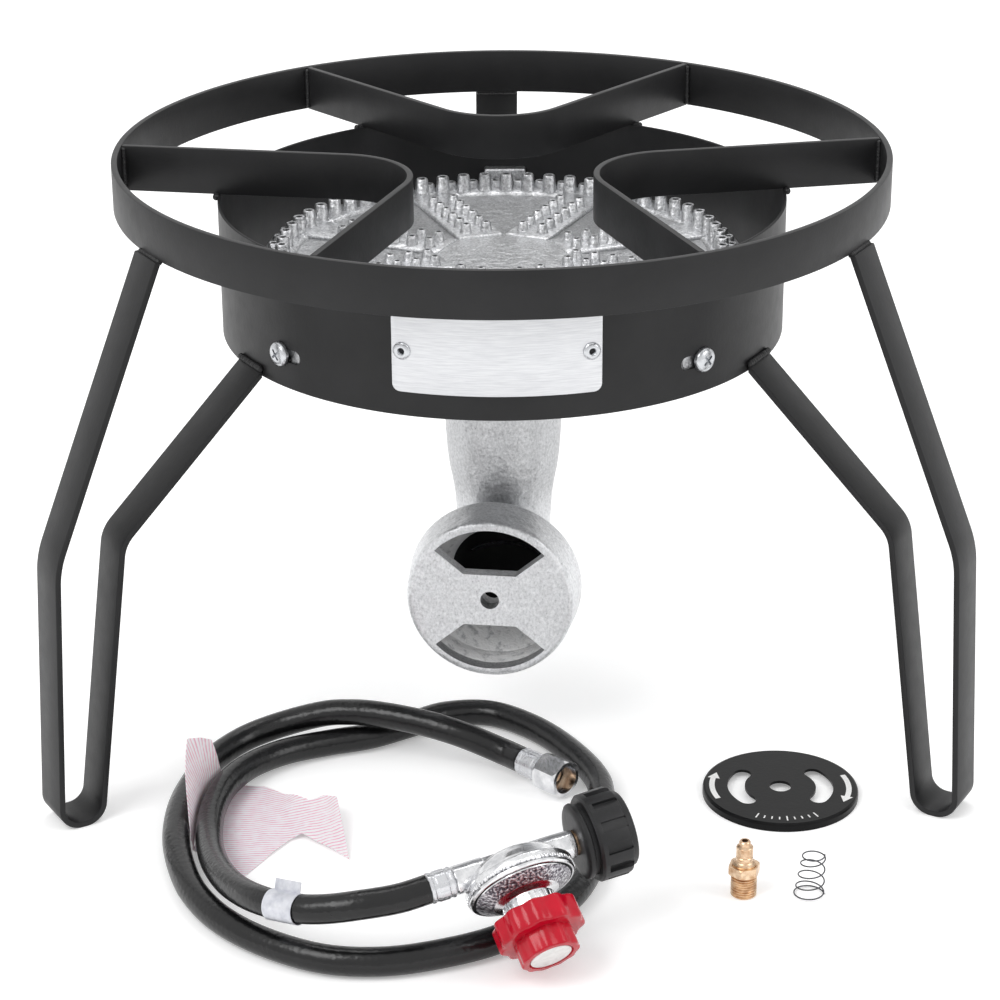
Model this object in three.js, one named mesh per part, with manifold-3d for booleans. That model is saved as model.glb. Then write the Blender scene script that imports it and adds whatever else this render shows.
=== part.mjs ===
// A propane burner stand: a ring on three bent-bar legs with V-shaped pot supports, a wind shield,
// a cast burner with its mixer tube, and beside it the gas hose with its regulator, the air shutter,
// the orifice fitting and the shutter spring.
// Millimetres and degrees. +Z is up, z = 0 is the floor, and the stand is drawn about its own axis.
import * as THREE from 'three';
import { mergeGeometries, mergeVertices } from 'three/addons/utils/BufferGeometryUtils.js';
import Module from 'manifold-3d';

const wasm = await Module();
wasm.setup();

// ---------------------------------------------------------------- driving dimensions

const clearance = 0.3; // between two pieces that meet

const bar = { thickness: 3.2, height: 24 }; // the flat bar of ring and pot supports
const ring = { radius: 200, top: 318 };
const support = { halfAngle: 40, apexRadius: 60, bend: 40 };
const standAngles = { back: 90, left: 210, right: 330 };

const shield = {
  radius: 147,
  sheet: 1.5,
  bottom: 224,
  slotLength: 18,
  slotHeight: 7,
};

// A leg is one bar, bent in a plane through the stand's axis. These are corners of its middle line,
// and each reach is measured outwards from the ring's outer face.
const leg = {
  width: 24,
  thickness: 3.2,
  topReach: 0.5,
  kneeReach: 62.9,
  kneeHeight: 145.2,
  kneeBend: 50,
  footReach: 70.1,
  footSpan: 22.1,
  footBend: 10.2,
  innerKneeReach: 27.5,
  innerKneeHeight: 150.8,
  innerKneeBend: 18,
  innerSlope: 43.1,
};

const plate = {
  angle: 268,
  length: 103,
  height: 42,
  thickness: 0.8,
  corner: 4,
  middle: 257.8,
  rivetSpacing: 91.9,
};
const rivet = { shank: 4.8, hole: 5.4, head: 8.5, headHeight: 1.3, core: 2.5, coreDepth: 1.6, bulb: 6.6 };

const burner = {
  yaw: -4, // the whole casting is hung turned by this much
  floor: 240, // underside of the head
  height: 22,
  radius: 127,
  rimWall: 7,
  floorThickness: 6,
  roofThickness: 7,
  hubRadius: 34,
  panelDepth: 1.5,
  panelRadius: 102,
  neckHole: 24,
  padRadius: 46,
  padHeight: 3.85,
};
const spokes = { count: 8, width: 22, rise: 0.6 };
const outerJets = { count: 60, radius: 121, base: 3.9, tip: 3, rise: 7.5, sides: 4 };
const innerJets = { count: 60, radius: 109, base: 3.2, tip: 2.6, rise: 2.5, sides: 4 };
const spokeJets = {
  rows: 6,
  first: 40,
  pitch: 10,
  offset: 5.6,
  base: 2.8,
  tip: 2.2,
  rise: 3.9,
  sides: 4,
};
// The lugs' heights are measured from the underside of the head.
const lug = {
  angles: { back: 93, left: 225, right: 315 },
  slotShift: { back: 0, left: 2, right: -2 },
  width: 21,
  thickness: 7.7,
  bottom: -8,
  top: 25,
  armBottom: 4,
  armTop: 16,
};
const lugScrew = {
  rise: 1.5, // over the underside of the head
  shank: 6,
  head: 12.4,
  headHeight: 3.6,
  recess: 5.6,
  recessWidth: 1.3,
  recessDepth: 2,
};

const tube = {
  yaw: -4.5, // turned by this much under the head
  flangeThickness: 6,
  neckTopWidth: 62,
  neckWidth: 52,
  neckSquash: 0.92,
  neckStraight: 34, // over the bell's axis
  neckFlare: 78,
  bore: 40,
  bellHeight: 87,
  bellRadius: 44.5,
  bellSpread: 2, // how much wider the lip's back is than its face
  bellFace: 58, // how far the face stands in front of the neck's axis
  bellLip: 24,
  bellBack: 26,
  facePlate: 4,
  bellBore: 40.5,
  openingRadius: 40,
  openingTip: 29,
  openingTipRise: 27,
  openingEdge: 14,
  openingEdgeRise: 14.5,
  boss: 9,
  bossDepth: 10,
  centreHole: 5,
};
const tubeBolt = { radius: 38, shank: 6, hole: 6.6, head: 11.5, headHeight: 4, depth: 6 };

const hose = { diameter: 14, sides: 10, steps: 42 };
const ferrule = { diameter: 14.8, length: 15, bore: 6, grooves: 2 };
const flare = { x: 8, y: -95, z: 11.5, heading: -45 };
const swivel = { acrossCorners: 21.5, length: 15.4, backHole: 8.6, bore: 15.2, wall: 4 };
const nipple = { shank: 7.8, flare: 12.6, bore: 4.4, lip: 1.5 };
const band = { length: 17, thickness: 0.4, step: 2 }; // round the middle of this step of the hose

// The regulator. x runs along its gas line, and t is the height above its joint, along the knob's axis.
const regulator = { x: 3.4, y: -269.8, z: 39.7, heading: 19.3, rise: 7.7, roll: 34.5 };
const housing = {
  radius: 26.7,
  joint: 0.15,
  flange: 4.5,
  depth: 19.5,
  shoulder: 12,
  well: 6.5,
  lineDepth: 12,
  lineBore: 6,
  valveHole: 5,
  outletBoss: 14,
  outletReach: 26.7,
  inletBoss: 13.8,
  inletReach: 31,
};
const membrane = { radius: 22.5, thickness: 1, seat: 0.7 };
const bonnet = {
  flange: 2,
  coneTop: 7,
  neckRadius: 12.8,
  neckTop: 16,
  cavityRadius: 10,
  cavityTop: 13.3,
  stemHole: 8.4,
};
const button = { radius: 8.4, thickness: 1.5 };
const loadSpring = { radius: 6.4, wire: 1.2, curls: 3, foot: 0.3 };
const screw = { radius: 3.7 };
const knob = {
  rim: 15.8,
  shoulder: 28,
  top: 38.4,
  radius: 20.6,
  lobe: 0.8,
  lobes: 11,
  bore: 15,
  web: 3,
  capRadius: 14.4,
  recessDepth: 1,
  stemDepth: 32,
};
const label = { radius: 10.1, thickness: 0.5 };
const nut = {
  start: 32,
  end: 57.5,
  flange: 18.6,
  flangeThickness: 4,
  groove: 17.2,
  ribStart: 38,
  ribEnd: 53.5,
  ribRadius: 20.6,
  ribHeight: 0.8,
  ribs: 12,
  nose: 18.2,
  mouth: 15,
  backWall: 4.7,
  hole: 12.6,
};
const inlet = { radius: 6, end: 52, collar: 8, collarThickness: 2, bore: 3, probe: 5 };

// The tag passes under the inner run of the hose, and its wing stands up between the two runs.
const tag = {
  thickness: 0.8,
  lift: 0.3,
  wingBase: [
    [-149.5, -97],
    [-152.6, -103.5],
    [-155.9, -112],
    [-158.7, -122],
    [-160.1, -135],
    [-160.4, -150],
    [-160.4, -165],
  ],
  wingOutline: [
    [-97, 0],
    [-97, 8],
    [-107, 33],
    [-119, 40],
    [-150, 15],
    [-165, 6],
    [-165, 0],
  ],
  sheet: [
    [-134, -196],
    [-112, -159],
    [-81, -178],
    [-90, -114],
    [-113, -120],
    [-128, -101],
  ],
};
const shutter = {
  x: 141.9,
  y: -113.5,
  radius: 40.5,
  height: 4.5,
  sheet: 1.5,
  slotRadius: 23,
  slotWidth: 9,
  slotHalfAngle: 37,
  hole: 11.4,
};
const orifice = {
  x: 113.4,
  y: -214.3,
  threadRadius: 6.4,
  threadHeight: 12,
  threads: 4,
  hex: 16,
  hexHeight: 5,
  neck: 4.15,
  neckTop: 27,
  tip: 2.85,
  height: 30,
  bore: 1.6,
};
const coil = {
  x: 145.3,
  y: -216,
  bottom: 8,
  top: 5.7,
  height: 23,
  curls: 5,
  wire: 0.9,
  lean: 1.8,
};

const round = 72; // sides of the ring and the shield, which their neighbours follow
const fine = 40;
const medium = 24;
const small = 12;

// ---------------------------------------------------------------- finishes

function finish(color, roughness, metalness) {
  return new THREE.MeshStandardMaterial({ color, roughness, metalness });
}

const blackPaint = finish('#2b2b2c', 0.5, 0.2);
const castAluminium = finish('#b9babb', 0.45, 0.9);
const zinc = finish('#c9cacc', 0.3, 1);
const plateSilver = finish('#d2d3d5', 0.35, 0.8);
const chrome = finish('#d8d9db', 0.15, 1);
const brass = finish('#b9862f', 0.3, 1);
const springSteel = finish('#55565a', 0.35, 1);
const blackRubber = finish('#161617', 0.55, 0);
const blackNylon = finish('#1f2022', 0.6, 0);
const redPlastic = finish('#b8102a', 0.35, 0);
const whitePaper = finish('#f1eef0', 0.8, 0);

// ---------------------------------------------------------------- helpers

const radians = THREE.MathUtils.degToRad;

// A closed geometry as a solid, turned right side out.
function solid(geometry) {
  const bare = geometry.clone();
  for (const name of Object.keys(bare.attributes)) {
    if (name !== 'position') bare.deleteAttribute(name);
  }
  const merged = mergeVertices(bare, 1e-4);
  const position = merged.getAttribute('position');
  const corners = Array.from(merged.index.array);
  const faces = [];
  let volume = 0;
  const [a, b, c] = [new THREE.Vector3(), new THREE.Vector3(), new THREE.Vector3()];
  for (let i = 0; i < corners.length; i += 3) {
    const face = corners.slice(i, i + 3);
    if (new Set(face).size < 3) continue;
    faces.push(face);
    [a, b, c].forEach((corner, k) => corner.fromBufferAttribute(position, face[k]));
    volume += a.dot(b.cross(c));
  }
  const triVerts = new Uint32Array(faces.flatMap((face) => (volume < 0 ? face.reverse() : face)));
  const vertProperties = new Float32Array(position.array);
  return new wasm.Manifold(new wasm.Mesh({ numProp: 3, vertProperties, triVerts }));
}

// A solid as a geometry again.
function geometryOf(made) {
  const mesh = made.getMesh();
  const geometry = new THREE.BufferGeometry();
  geometry.setAttribute('position', new THREE.BufferAttribute(new Float32Array(mesh.vertProperties), 3));
  geometry.setIndex(new THREE.BufferAttribute(new Uint32Array(mesh.triVerts), 1));
  return geometry;
}

function joined(...geometries) {
  return geometries.map(solid).reduce((whole, more) => whole.add(more));
}

// A body turned about Z from its profile of [radius, height] points.
function turned(profile, sides = medium) {
  const points = profile.map(([radius, height]) => new THREE.Vector2(radius, height));
  return new THREE.LatheGeometry(points, sides).rotateX(Math.PI / 2);
}

// The same about X, from [radius, x] points.
function turnedX(profile, sides = medium) {
  return turned(profile, sides).rotateY(Math.PI / 2);
}

// The same about the knob's axis, from [radius, t] points. The axis is -Y of the regulator's frame.
function turnedT(profile, sides = medium) {
  return turned(profile, sides).rotateX(Math.PI / 2);
}

function closed(profile) {
  return [...profile, profile[0]];
}

function rod(radius, low, high, sides = medium) {
  return turned([[0, low], [radius, low], [radius, high], [0, high]], sides);
}

function pipe(outer, inner, low, high, sides = medium) {
  return turned(closed([[inner, low], [outer, low], [outer, high], [inner, high]]), sides);
}

function block(width, depth, low, high) {
  return new THREE.BoxGeometry(width, depth, high - low).translate(0, 0, (low + high) / 2);
}

// A prism that stands on an outline of points, from low to high.
function prism(outline, low, high) {
  const shape = outline instanceof THREE.Shape ? outline : new THREE.Shape(outline);
  const options = { depth: high - low, bevelEnabled: false, curveSegments: 6 };
  return new THREE.ExtrudeGeometry(shape, options).translate(0, 0, low);
}

function polygon(radius, sides, turn = 0) {
  const corners = [];
  for (let i = 0; i < sides; i += 1) {
    const angle = turn + (i * 2 * Math.PI) / sides;
    corners.push(new THREE.Vector2(radius * Math.cos(angle), radius * Math.sin(angle)));
  }
  return corners;
}

// A circle whose radius swings by the lobe's height, for a grip.
function lobed(radius, lobe, lobes, stepsPerLobe = 4) {
  const corners = [];
  const steps = lobes * stepsPerLobe;
  for (let i = 0; i < steps; i += 1) {
    const angle = (i * 2 * Math.PI) / steps;
    const reach = radius + lobe * Math.cos(lobes * angle);
    corners.push(new THREE.Vector2(reach * Math.cos(angle), reach * Math.sin(angle)));
  }
  return corners;
}

// The middle line of a bent bar through corners [x, y, bend radius], each corner an arc.
function bentLine(corners, degreesPerStep = 9) {
  const line = [];
  corners.forEach(([x, y, bend], i) => {
    const corner = new THREE.Vector2(x, y);
    if (!bend) {
      line.push(corner);
      return;
    }
    const back = new THREE.Vector2(corners[i - 1][0], corners[i - 1][1]).sub(corner).normalize();
    const ahead = new THREE.Vector2(corners[i + 1][0], corners[i + 1][1]).sub(corner).normalize();
    const half = Math.acos(back.dot(ahead)) / 2;
    const middle = back.clone().add(ahead).normalize();
    const centre = corner.clone().addScaledVector(middle, bend / Math.sin(half));
    const start = corner.clone().addScaledVector(back, bend / Math.tan(half));
    const turn = (Math.PI - 2 * half) * Math.sign(ahead.cross(back));
    const steps = Math.max(2, Math.ceil(Math.abs(turn) / radians(degreesPerStep)));
    for (let k = 0; k <= steps; k += 1) {
      line.push(start.clone().rotateAround(centre, (turn * k) / steps));
    }
  });
  return line;
}

// The outline of a strip of one thickness along a line.
function strip(line, thickness) {
  const left = [];
  const right = [];
  line.forEach((point, i) => {
    const from = line[Math.max(0, i - 1)];
    const to = line[Math.min(line.length - 1, i + 1)];
    const before = point.clone().sub(from).normalize();
    const after = to.clone().sub(point).normalize();
    const along = before.clone().add(after).normalize();
    const reach = thickness / 2 / Math.max(along.dot(i === 0 ? after : before), 0.2);
    const aside = new THREE.Vector2(-along.y, along.x).multiplyScalar(reach);
    left.push(point.clone().add(aside));
    right.push(point.clone().sub(aside));
  });
  return [...left, ...right.reverse()];
}

// A round tube along a curve.
function tubeAlong(curve, radius, steps, sides) {
  const section = new THREE.Shape(polygon(radius, sides));
  return new THREE.ExtrudeGeometry(section, { steps, extrudePath: curve, bevelEnabled: false });
}

// A wire wound upwards, its first and last curls nearly flat.
class Winding extends THREE.Curve {
  constructor({ bottom, top, height, curls, wire, lean = 0, closedRise = 1.6 }) {
    super();
    Object.assign(this, { bottom, top, height, curls, wire, lean, closedRise });
  }

  getPoint(share, target = new THREE.Vector3()) {
    const turns = share * this.curls;
    const rise = this.height - this.wire;
    const openRise = (rise - 2 * this.closedRise) / (this.curls - 2);
    const closedTurns = Math.min(turns, 1) + Math.max(0, turns - this.curls + 1);
    const openTurns = Math.min(Math.max(turns - 1, 0), this.curls - 2);
    const height = closedTurns * this.closedRise + openTurns * openRise;
    const radius = this.bottom + (this.top - this.bottom) * share - this.wire / 2;
    const angle = turns * 2 * Math.PI;
    const aside = (this.lean * height) / rise;
    return target.set(radius * Math.cos(angle) + aside, radius * Math.sin(angle), this.wire / 2 + height);
  }
}

// The least gap from a winding to itself, measured on points at least half a curl apart.
function leastGap(winding) {
  const points = winding.getPoints(winding.curls * 48);
  let least = Infinity;
  for (let i = 0; i < points.length; i += 1) {
    for (let j = i + 24; j < points.length; j += 1) {
      least = Math.min(least, points[i].distanceTo(points[j]));
    }
  }
  return least - winding.wire;
}

const stand = new THREE.Group();
const cordPieces = new Set();

function piece(name, shape, material, parent = stand) {
  const geometry = shape.isBufferGeometry ? geometryOf(solid(shape)) : geometryOf(shape);
  const mesh = new THREE.Mesh(geometry, material);
  mesh.name = name;
  parent.add(mesh);
  return mesh;
}

function cordPiece(...values) {
  const mesh = piece(...values);
  cordPieces.add(mesh);
  return mesh;
}

function turnedGroup(degrees, parent = stand) {
  const group = new THREE.Group();
  group.rotation.z = radians(degrees);
  parent.add(group);
  return group;
}

// ---------------------------------------------------------------- ring, pot supports, wind shield

const ringBottom = ring.top - bar.height;
const ringWall = ring.radius - bar.thickness;
const shieldTop = ringBottom - clearance;
const shieldWall = shield.radius - shield.sheet;

piece('top_ring', pipe(ring.radius, ringWall, ringBottom, ring.top, round), blackPaint);

function potSupport() {
  const half = radians(support.halfAngle);
  const corner = support.apexRadius - support.bend * (1 / Math.sin(half) - 1);
  const reach = ring.radius;
  const end = [corner + reach * Math.cos(half), reach * Math.sin(half)];
  const line = bentLine([end, [corner, 0, support.bend], [end[0], -end[1]]]);
  const bent = solid(prism(strip(line, bar.thickness), ringBottom, ring.top));
  return bent.intersect(solid(rod(ringWall - clearance, ringBottom - 1, ring.top + 1, round)));
}

for (const [side, angle] of Object.entries(standAngles)) {
  piece(`pot_support_${side}`, potSupport(), blackPaint, turnedGroup(angle));
}

// A hole cut outwards through the shield at an angle and height.
function holeAt(geometry, angle, height) {
  const outwards = geometry.rotateY(Math.PI / 2).translate(shield.radius, 0, 0);
  return solid(outwards.rotateZ(radians(angle)).translate(0, 0, height));
}

function slotOutline(length, width) {
  const straight = (length - width) / 2;
  const shape = new THREE.Shape();
  shape.absarc(0, straight, width / 2, 0, Math.PI, false);
  shape.absarc(0, -straight, width / 2, Math.PI, 2 * Math.PI, false);
  return shape;
}

const throughWall = 6;
const rivetSwing = THREE.MathUtils.radToDeg(plate.rivetSpacing / 2 / shield.radius);
const rivetAngles = { left: plate.angle - rivetSwing, right: plate.angle + rivetSwing };
const screwHeight = burner.floor + lugScrew.rise;

function windShield() {
  let sheet = solid(pipe(shield.radius, shieldWall, shield.bottom, shieldTop, round));
  for (const side of Object.keys(lug.angles)) {
    const angle = lug.angles[side] + burner.yaw + lug.slotShift[side];
    const slot = prism(slotOutline(shield.slotLength, shield.slotHeight), -throughWall, throughWall);
    sheet = sheet.subtract(holeAt(slot, angle, screwHeight));
  }
  for (const angle of Object.values(rivetAngles)) {
    const hole = rod(rivet.hole / 2, -throughWall, throughWall, small);
    sheet = sheet.subtract(holeAt(hole, angle, plate.middle));
  }
  return sheet;
}

piece('wind_shield', windShield(), blackPaint);

// ---------------------------------------------------------------- legs

function legShape() {
  const half = leg.thickness / 2;
  const slope = radians(leg.innerSlope);
  const top = ring.radius + leg.topReach;
  const knee = ring.radius + leg.kneeReach;
  const foot = ring.radius + leg.footReach;
  const innerKnee = ring.radius + leg.innerKneeReach;
  const inward = innerKnee - shield.radius + bar.height;
  const rise = [knee - top, ringBottom - leg.kneeHeight];
  const line = bentLine([
    [top - rise[0] / 10, ringBottom + rise[1] / 10],
    [knee, leg.kneeHeight, leg.kneeBend],
    [foot, half, leg.footBend],
    [foot - leg.footSpan, half, leg.footBend],
    [innerKnee, leg.innerKneeHeight, leg.innerKneeBend],
    [innerKnee - inward, leg.innerKneeHeight + inward * Math.tan(slope)],
  ]);
  const flat = prism(strip(line, leg.thickness), -leg.width / 2, leg.width / 2).rotateX(Math.PI / 2);
  const room = pipe(foot + leg.width, shield.radius + clearance, -1, ringBottom - clearance, round);
  return solid(flat).intersect(solid(room));
}

for (const [side, angle] of Object.entries(standAngles)) {
  piece(`leg_${side}`, legShape(), blackPaint, turnedGroup(angle));
}

// ---------------------------------------------------------------- name plate and rivets

function roundedOutline(width, height, corner) {
  const shape = new THREE.Shape();
  const [x, y] = [width / 2 - corner, height / 2 - corner];
  shape.absarc(x, y, corner, 0, Math.PI / 2, false);
  shape.absarc(-x, y, corner, Math.PI / 2, Math.PI, false);
  shape.absarc(-x, -y, corner, Math.PI, 1.5 * Math.PI, false);
  shape.absarc(x, -y, corner, 1.5 * Math.PI, 2 * Math.PI, false);
  return shape;
}

const plateInside = shield.radius + clearance;
const plateOutside = plateInside + plate.thickness;

function namePlate() {
  const chord = 2 * plateInside * Math.sin(plate.length / 2 / plateInside);
  const outline = prism(roundedOutline(plate.height, chord, plate.corner), 0, shield.radius + bar.height);
  const outwards = outline.rotateY(Math.PI / 2).rotateZ(radians(plate.angle));
  const window = solid(outwards.translate(0, 0, plate.middle));
  const low = plate.middle - plate.height;
  const wall = pipe(plateOutside, plateInside, low, plate.middle + plate.height, round);
  let sheet = solid(wall).intersect(window);
  for (const angle of Object.values(rivetAngles)) {
    const hole = rod(rivet.hole / 2, -throughWall, throughWall, small);
    sheet = sheet.subtract(holeAt(hole, angle, plate.middle));
  }
  return sheet;
}

piece('name_plate', namePlate(), plateSilver);

function popRivet() {
  const seat = plateOutside + clearance;
  const back = shieldWall - clearance;
  const outer = seat + rivet.headHeight;
  return turnedX(
    [
      [0, back - 3],
      [rivet.bulb / 2 - 1, back - 3],
      [rivet.bulb / 2, back - 2],
      [rivet.bulb / 2, back - 0.4],
      [rivet.shank / 2, back],
      [rivet.shank / 2, seat],
      [rivet.head / 2, seat],
      [rivet.head / 2 - 0.3, seat + rivet.headHeight / 2],
      [rivet.head / 2 - 1.6, outer],
      [rivet.core / 2, outer],
      [rivet.core / 2, outer - rivet.coreDepth],
      [0, outer - rivet.coreDepth],
    ],
    small,
  );
}

for (const [side, angle] of Object.entries(rivetAngles)) {
  piece(`plate_rivet_${side}`, popRivet(), zinc, turnedGroup(angle)).position.z = plate.middle;
}

// ---------------------------------------------------------------- burner

const burnerGroup = turnedGroup(burner.yaw);
const tubeGroup = turnedGroup(tube.yaw, burnerGroup);
const burnerTop = burner.floor + burner.height;
const chamberFloor = burner.floor + burner.floorThickness;
const chamberRoof = burnerTop - burner.roofThickness;
const chamberRadius = burner.radius - burner.rimWall;

function jetRow(row, base, angles, place) {
  return angles.map((angle) => {
    const height = row.rise + burner.panelDepth;
    const jet = new THREE.CylinderGeometry(row.tip, row.base, height, row.sides).rotateX(Math.PI / 2);
    return place(jet.translate(0, 0, base - burner.panelDepth + height / 2)).rotateZ(radians(angle));
  });
}

function burnerHead() {
  const rim = burner.radius;
  const pad = burner.floor - burner.padHeight;
  let head = solid(
    turned(
      [
        [0, chamberRoof],
        [chamberRadius - 2, chamberRoof],
        [chamberRadius, chamberRoof - 3],
        [chamberRadius - 2, chamberFloor + 3],
        [chamberRadius / 2, chamberFloor],
        [burner.neckHole, chamberFloor - 2],
        [burner.neckHole, pad],
        [burner.padRadius, pad],
        [burner.padRadius, burner.floor],
        [chamberRadius / 2, burner.floor + 1],
        [rim - 10, burner.floor + 3],
        [rim, burner.floor + 9],
        [rim, burnerTop - 1],
        [rim - 2, burnerTop],
        [burner.panelRadius, burnerTop],
        [burner.panelRadius - 1, burnerTop - burner.panelDepth],
        [burner.hubRadius + 1, burnerTop - burner.panelDepth],
        [burner.hubRadius, burnerTop],
        [0, burnerTop],
      ],
      fine,
    ),
  );
  const spokeTop = burnerTop + spokes.rise;
  for (let i = 0; i < spokes.count; i += 1) {
    const length = burner.panelRadius - burner.hubRadius + 1;
    const rib = block(length, spokes.width, burnerTop - 3, spokeTop);
    const middle = (burner.panelRadius + burner.hubRadius) / 2;
    head = head.add(solid(rib.translate(middle, 0, 0).rotateZ(radians(((i + 0.5) * 360) / spokes.count))));
  }
  const face = shieldWall - clearance;
  const [low, high] = [burner.floor + lug.bottom, burner.floor + lug.top];
  for (const angle of Object.values(lug.angles)) {
    const tab = block(lug.thickness + 4, lug.width, low, high);
    const arm = block(face - rim + 2, lug.width, burner.floor + lug.armBottom, burner.floor + lug.armTop);
    let made = solid(tab.translate(face - lug.thickness / 2 + 2, 0, 0));
    made = made.add(solid(arm.translate((face + rim) / 2 - 3, 0, 0)));
    made = made.intersect(solid(rod(face, low - 1, high + 1, round)));
    const hole = rod(lugScrew.shank / 2 + clearance, -lug.thickness * 2, lug.thickness * 2, small);
    made = made.subtract(solid(hole.rotateY(Math.PI / 2).translate(face, 0, screwHeight)));
    const turnedLug = geometryOf(made).rotateZ(radians(angle));
    head = head.add(solid(turnedLug));
  }
  for (const side of [-1, 1]) {
    const hole = rod(tubeBolt.hole / 2, pad - 1, pad + tubeBolt.depth, small);
    head = head.subtract(solid(hole.translate(side * tubeBolt.radius, 0, 0).rotateZ(radians(tube.yaw))));
  }
  const steps = (count, shift) => Array.from({ length: count }, (_, i) => ((i + shift) * 360) / count);
  const jets = [];
  for (const [row, shift] of [[outerJets, 0], [innerJets, 0.5]]) {
    jets.push(...jetRow(row, burnerTop, steps(row.count, shift), (jet) => jet.translate(row.radius, 0, 0)));
  }
  for (let row = 0; row < spokeJets.rows; row += 1) {
    for (const side of [-1, 1]) {
      const reach = spokeJets.first + row * spokeJets.pitch;
      const place = (jet) => jet.translate(reach, side * spokeJets.offset, 0);
      jets.push(...jetRow(spokeJets, spokeTop, steps(spokes.count, 0.5), place));
    }
  }
  return head.add(solid(mergeGeometries(jets)));
}

piece('burner_head', burnerHead(), castAluminium, burnerGroup);

const flangeTop = burner.floor - burner.padHeight - clearance;
const flangeBottom = flangeTop - tube.flangeThickness;

function bellOpening(side) {
  const shape = new THREE.Shape();
  const tipAngle = Math.atan2(tube.openingTipRise, tube.openingTip);
  shape.moveTo(-tube.openingEdge, tube.openingEdgeRise);
  shape.lineTo(tube.openingEdge, tube.openingEdgeRise);
  shape.absarc(0, 0, tube.openingRadius, tipAngle, Math.PI - tipAngle, false);
  const cut = prism(shape, tube.bellFace - tube.facePlate - 1, tube.bellFace + 1).rotateX(Math.PI / 2);
  return solid((side < 0 ? cut.rotateY(Math.PI) : cut).translate(0, 0, tube.bellHeight));
}

// The bell is drawn about Y: these profiles hold [radius, how far in front of the neck's axis].
function bellTurned(profile) {
  return solid(turned(profile, medium).rotateX(Math.PI / 2).translate(0, 0, tube.bellHeight));
}

function venturiTube() {
  const wide = tube.neckTopWidth / 2;
  const narrow = tube.neckWidth / 2;
  const neck = turned(
    [
      [0, tube.bellHeight],
      [narrow - 1.5, tube.bellHeight],
      [narrow, tube.bellHeight + tube.neckStraight],
      [wide - 1.7, flangeBottom - tube.neckFlare],
      [wide, flangeBottom - tube.neckFlare / 3],
      [wide, flangeBottom + 1],
      [0, flangeBottom + 1],
    ],
    medium,
  ).scale(1, tube.neckSquash, 1);
  const face = tube.bellFace;
  const rim = tube.bellRadius;
  const lipBack = face - tube.bellLip;
  const wall = rim - tube.bellBore;
  let body = solid(rod(burner.padRadius, flangeBottom, flangeTop, medium)).add(solid(neck));
  body = body.add(
    bellTurned([
      [0, face],
      [rim - 1.5, face],
      [rim, face - 1.5],
      [rim + tube.bellSpread, lipBack],
      [rim * 0.67, lipBack - 14],
      [rim * 0.58, 0],
      [rim * 0.53, -12],
      [rim * 0.36, -tube.bellBack + 5],
      [0, -tube.bellBack],
    ]),
  );
  const inside = tube.bellBore;
  body = body.subtract(
    bellTurned([
      [0, face - tube.facePlate],
      [inside, face - tube.facePlate],
      [inside, lipBack + 2],
      [rim * 0.67 - wall, lipBack - 14],
      [rim * 0.58 - wall, 0],
      [rim * 0.45 - wall, -10],
      [0, -tube.bellBack + 7],
    ]),
  );
  body = body.subtract(solid(rod(tube.bore / 2, tube.bellHeight, flangeTop + 1, medium)));
  for (const side of [-1, 1]) {
    body = body.subtract(bellOpening(side));
    const hole = rod(tubeBolt.hole / 2, flangeBottom - 1, flangeTop + 1, small);
    body = body.subtract(solid(hole.translate(side * tubeBolt.radius, 0, 0)));
  }
  const bossEnd = face - tube.facePlate - tube.bossDepth;
  const hole = tube.centreHole;
  body = body.add(bellTurned([[0, bossEnd], [tube.boss, bossEnd], [tube.boss, face - 1], [0, face - 1]]));
  return body.subtract(bellTurned([[0, bossEnd - 1], [hole, bossEnd - 1], [hole, face + 1], [0, face + 1]]));
}

piece('venturi_tube', venturiTube(), castAluminium, tubeGroup);

for (const [side, sign] of [['left', -1], ['right', 1]]) {
  const seat = flangeBottom - clearance;
  const top = flangeTop + clearance + tubeBolt.depth - clearance;
  const head = prism(polygon(tubeBolt.head / 2, 6), seat - tubeBolt.headHeight, seat);
  const bolt = joined(head, rod(tubeBolt.shank / 2, seat - 1, top - 0.2, small));
  piece(`tube_bolt_${side}`, bolt, zinc, tubeGroup).position.x = sign * tubeBolt.radius;
}

function panHeadScrew() {
  const seat = shield.radius + clearance;
  const end = shieldWall - clearance - lug.thickness - 2;
  const radius = lugScrew.head / 2;
  const outer = seat + lugScrew.headHeight;
  let made = solid(
    turnedX(
      [
        [0, end],
        [lugScrew.shank / 2 - 0.8, end],
        [lugScrew.shank / 2, end + 0.8],
        [lugScrew.shank / 2, seat],
        [radius, seat],
        [radius, seat + lugScrew.headHeight * 0.4],
        [radius * 0.86, seat + lugScrew.headHeight * 0.78],
        [radius * 0.5, outer - 0.15],
        [0, outer],
      ],
      small,
    ),
  );
  const { recess, recessWidth, recessDepth } = lugScrew;
  for (const [width, height] of [[recess, recessWidth], [recessWidth, recess]]) {
    const cut = new THREE.BoxGeometry(recessDepth * 2, width, height).translate(outer, 0, 0);
    made = made.subtract(solid(cut));
  }
  return made;
}

for (const [side, angle] of Object.entries(lug.angles)) {
  piece(`lug_screw_${side}`, panHeadScrew(), zinc, turnedGroup(angle, burnerGroup)).position.z = screwHeight;
}

// ---------------------------------------------------------------- regulator

const regulatorGroup = new THREE.Group();
regulatorGroup.position.set(regulator.x, regulator.y, regulator.z);
const { heading, rise: climb, roll } = regulator;
regulatorGroup.rotation.set(radians(roll), radians(-climb), radians(heading), 'ZYX');
stand.add(regulatorGroup);
const line = new THREE.Group(); // the gas line's pieces are turned about this group's X
line.position.y = housing.lineDepth;
regulatorGroup.add(line);

const alongLine = (geometry) => geometry.translate(0, housing.lineDepth, 0);
const lineRod = (radius, low, high) => turnedX([[0, low], [radius, low], [radius, high], [0, high]], small);

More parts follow.
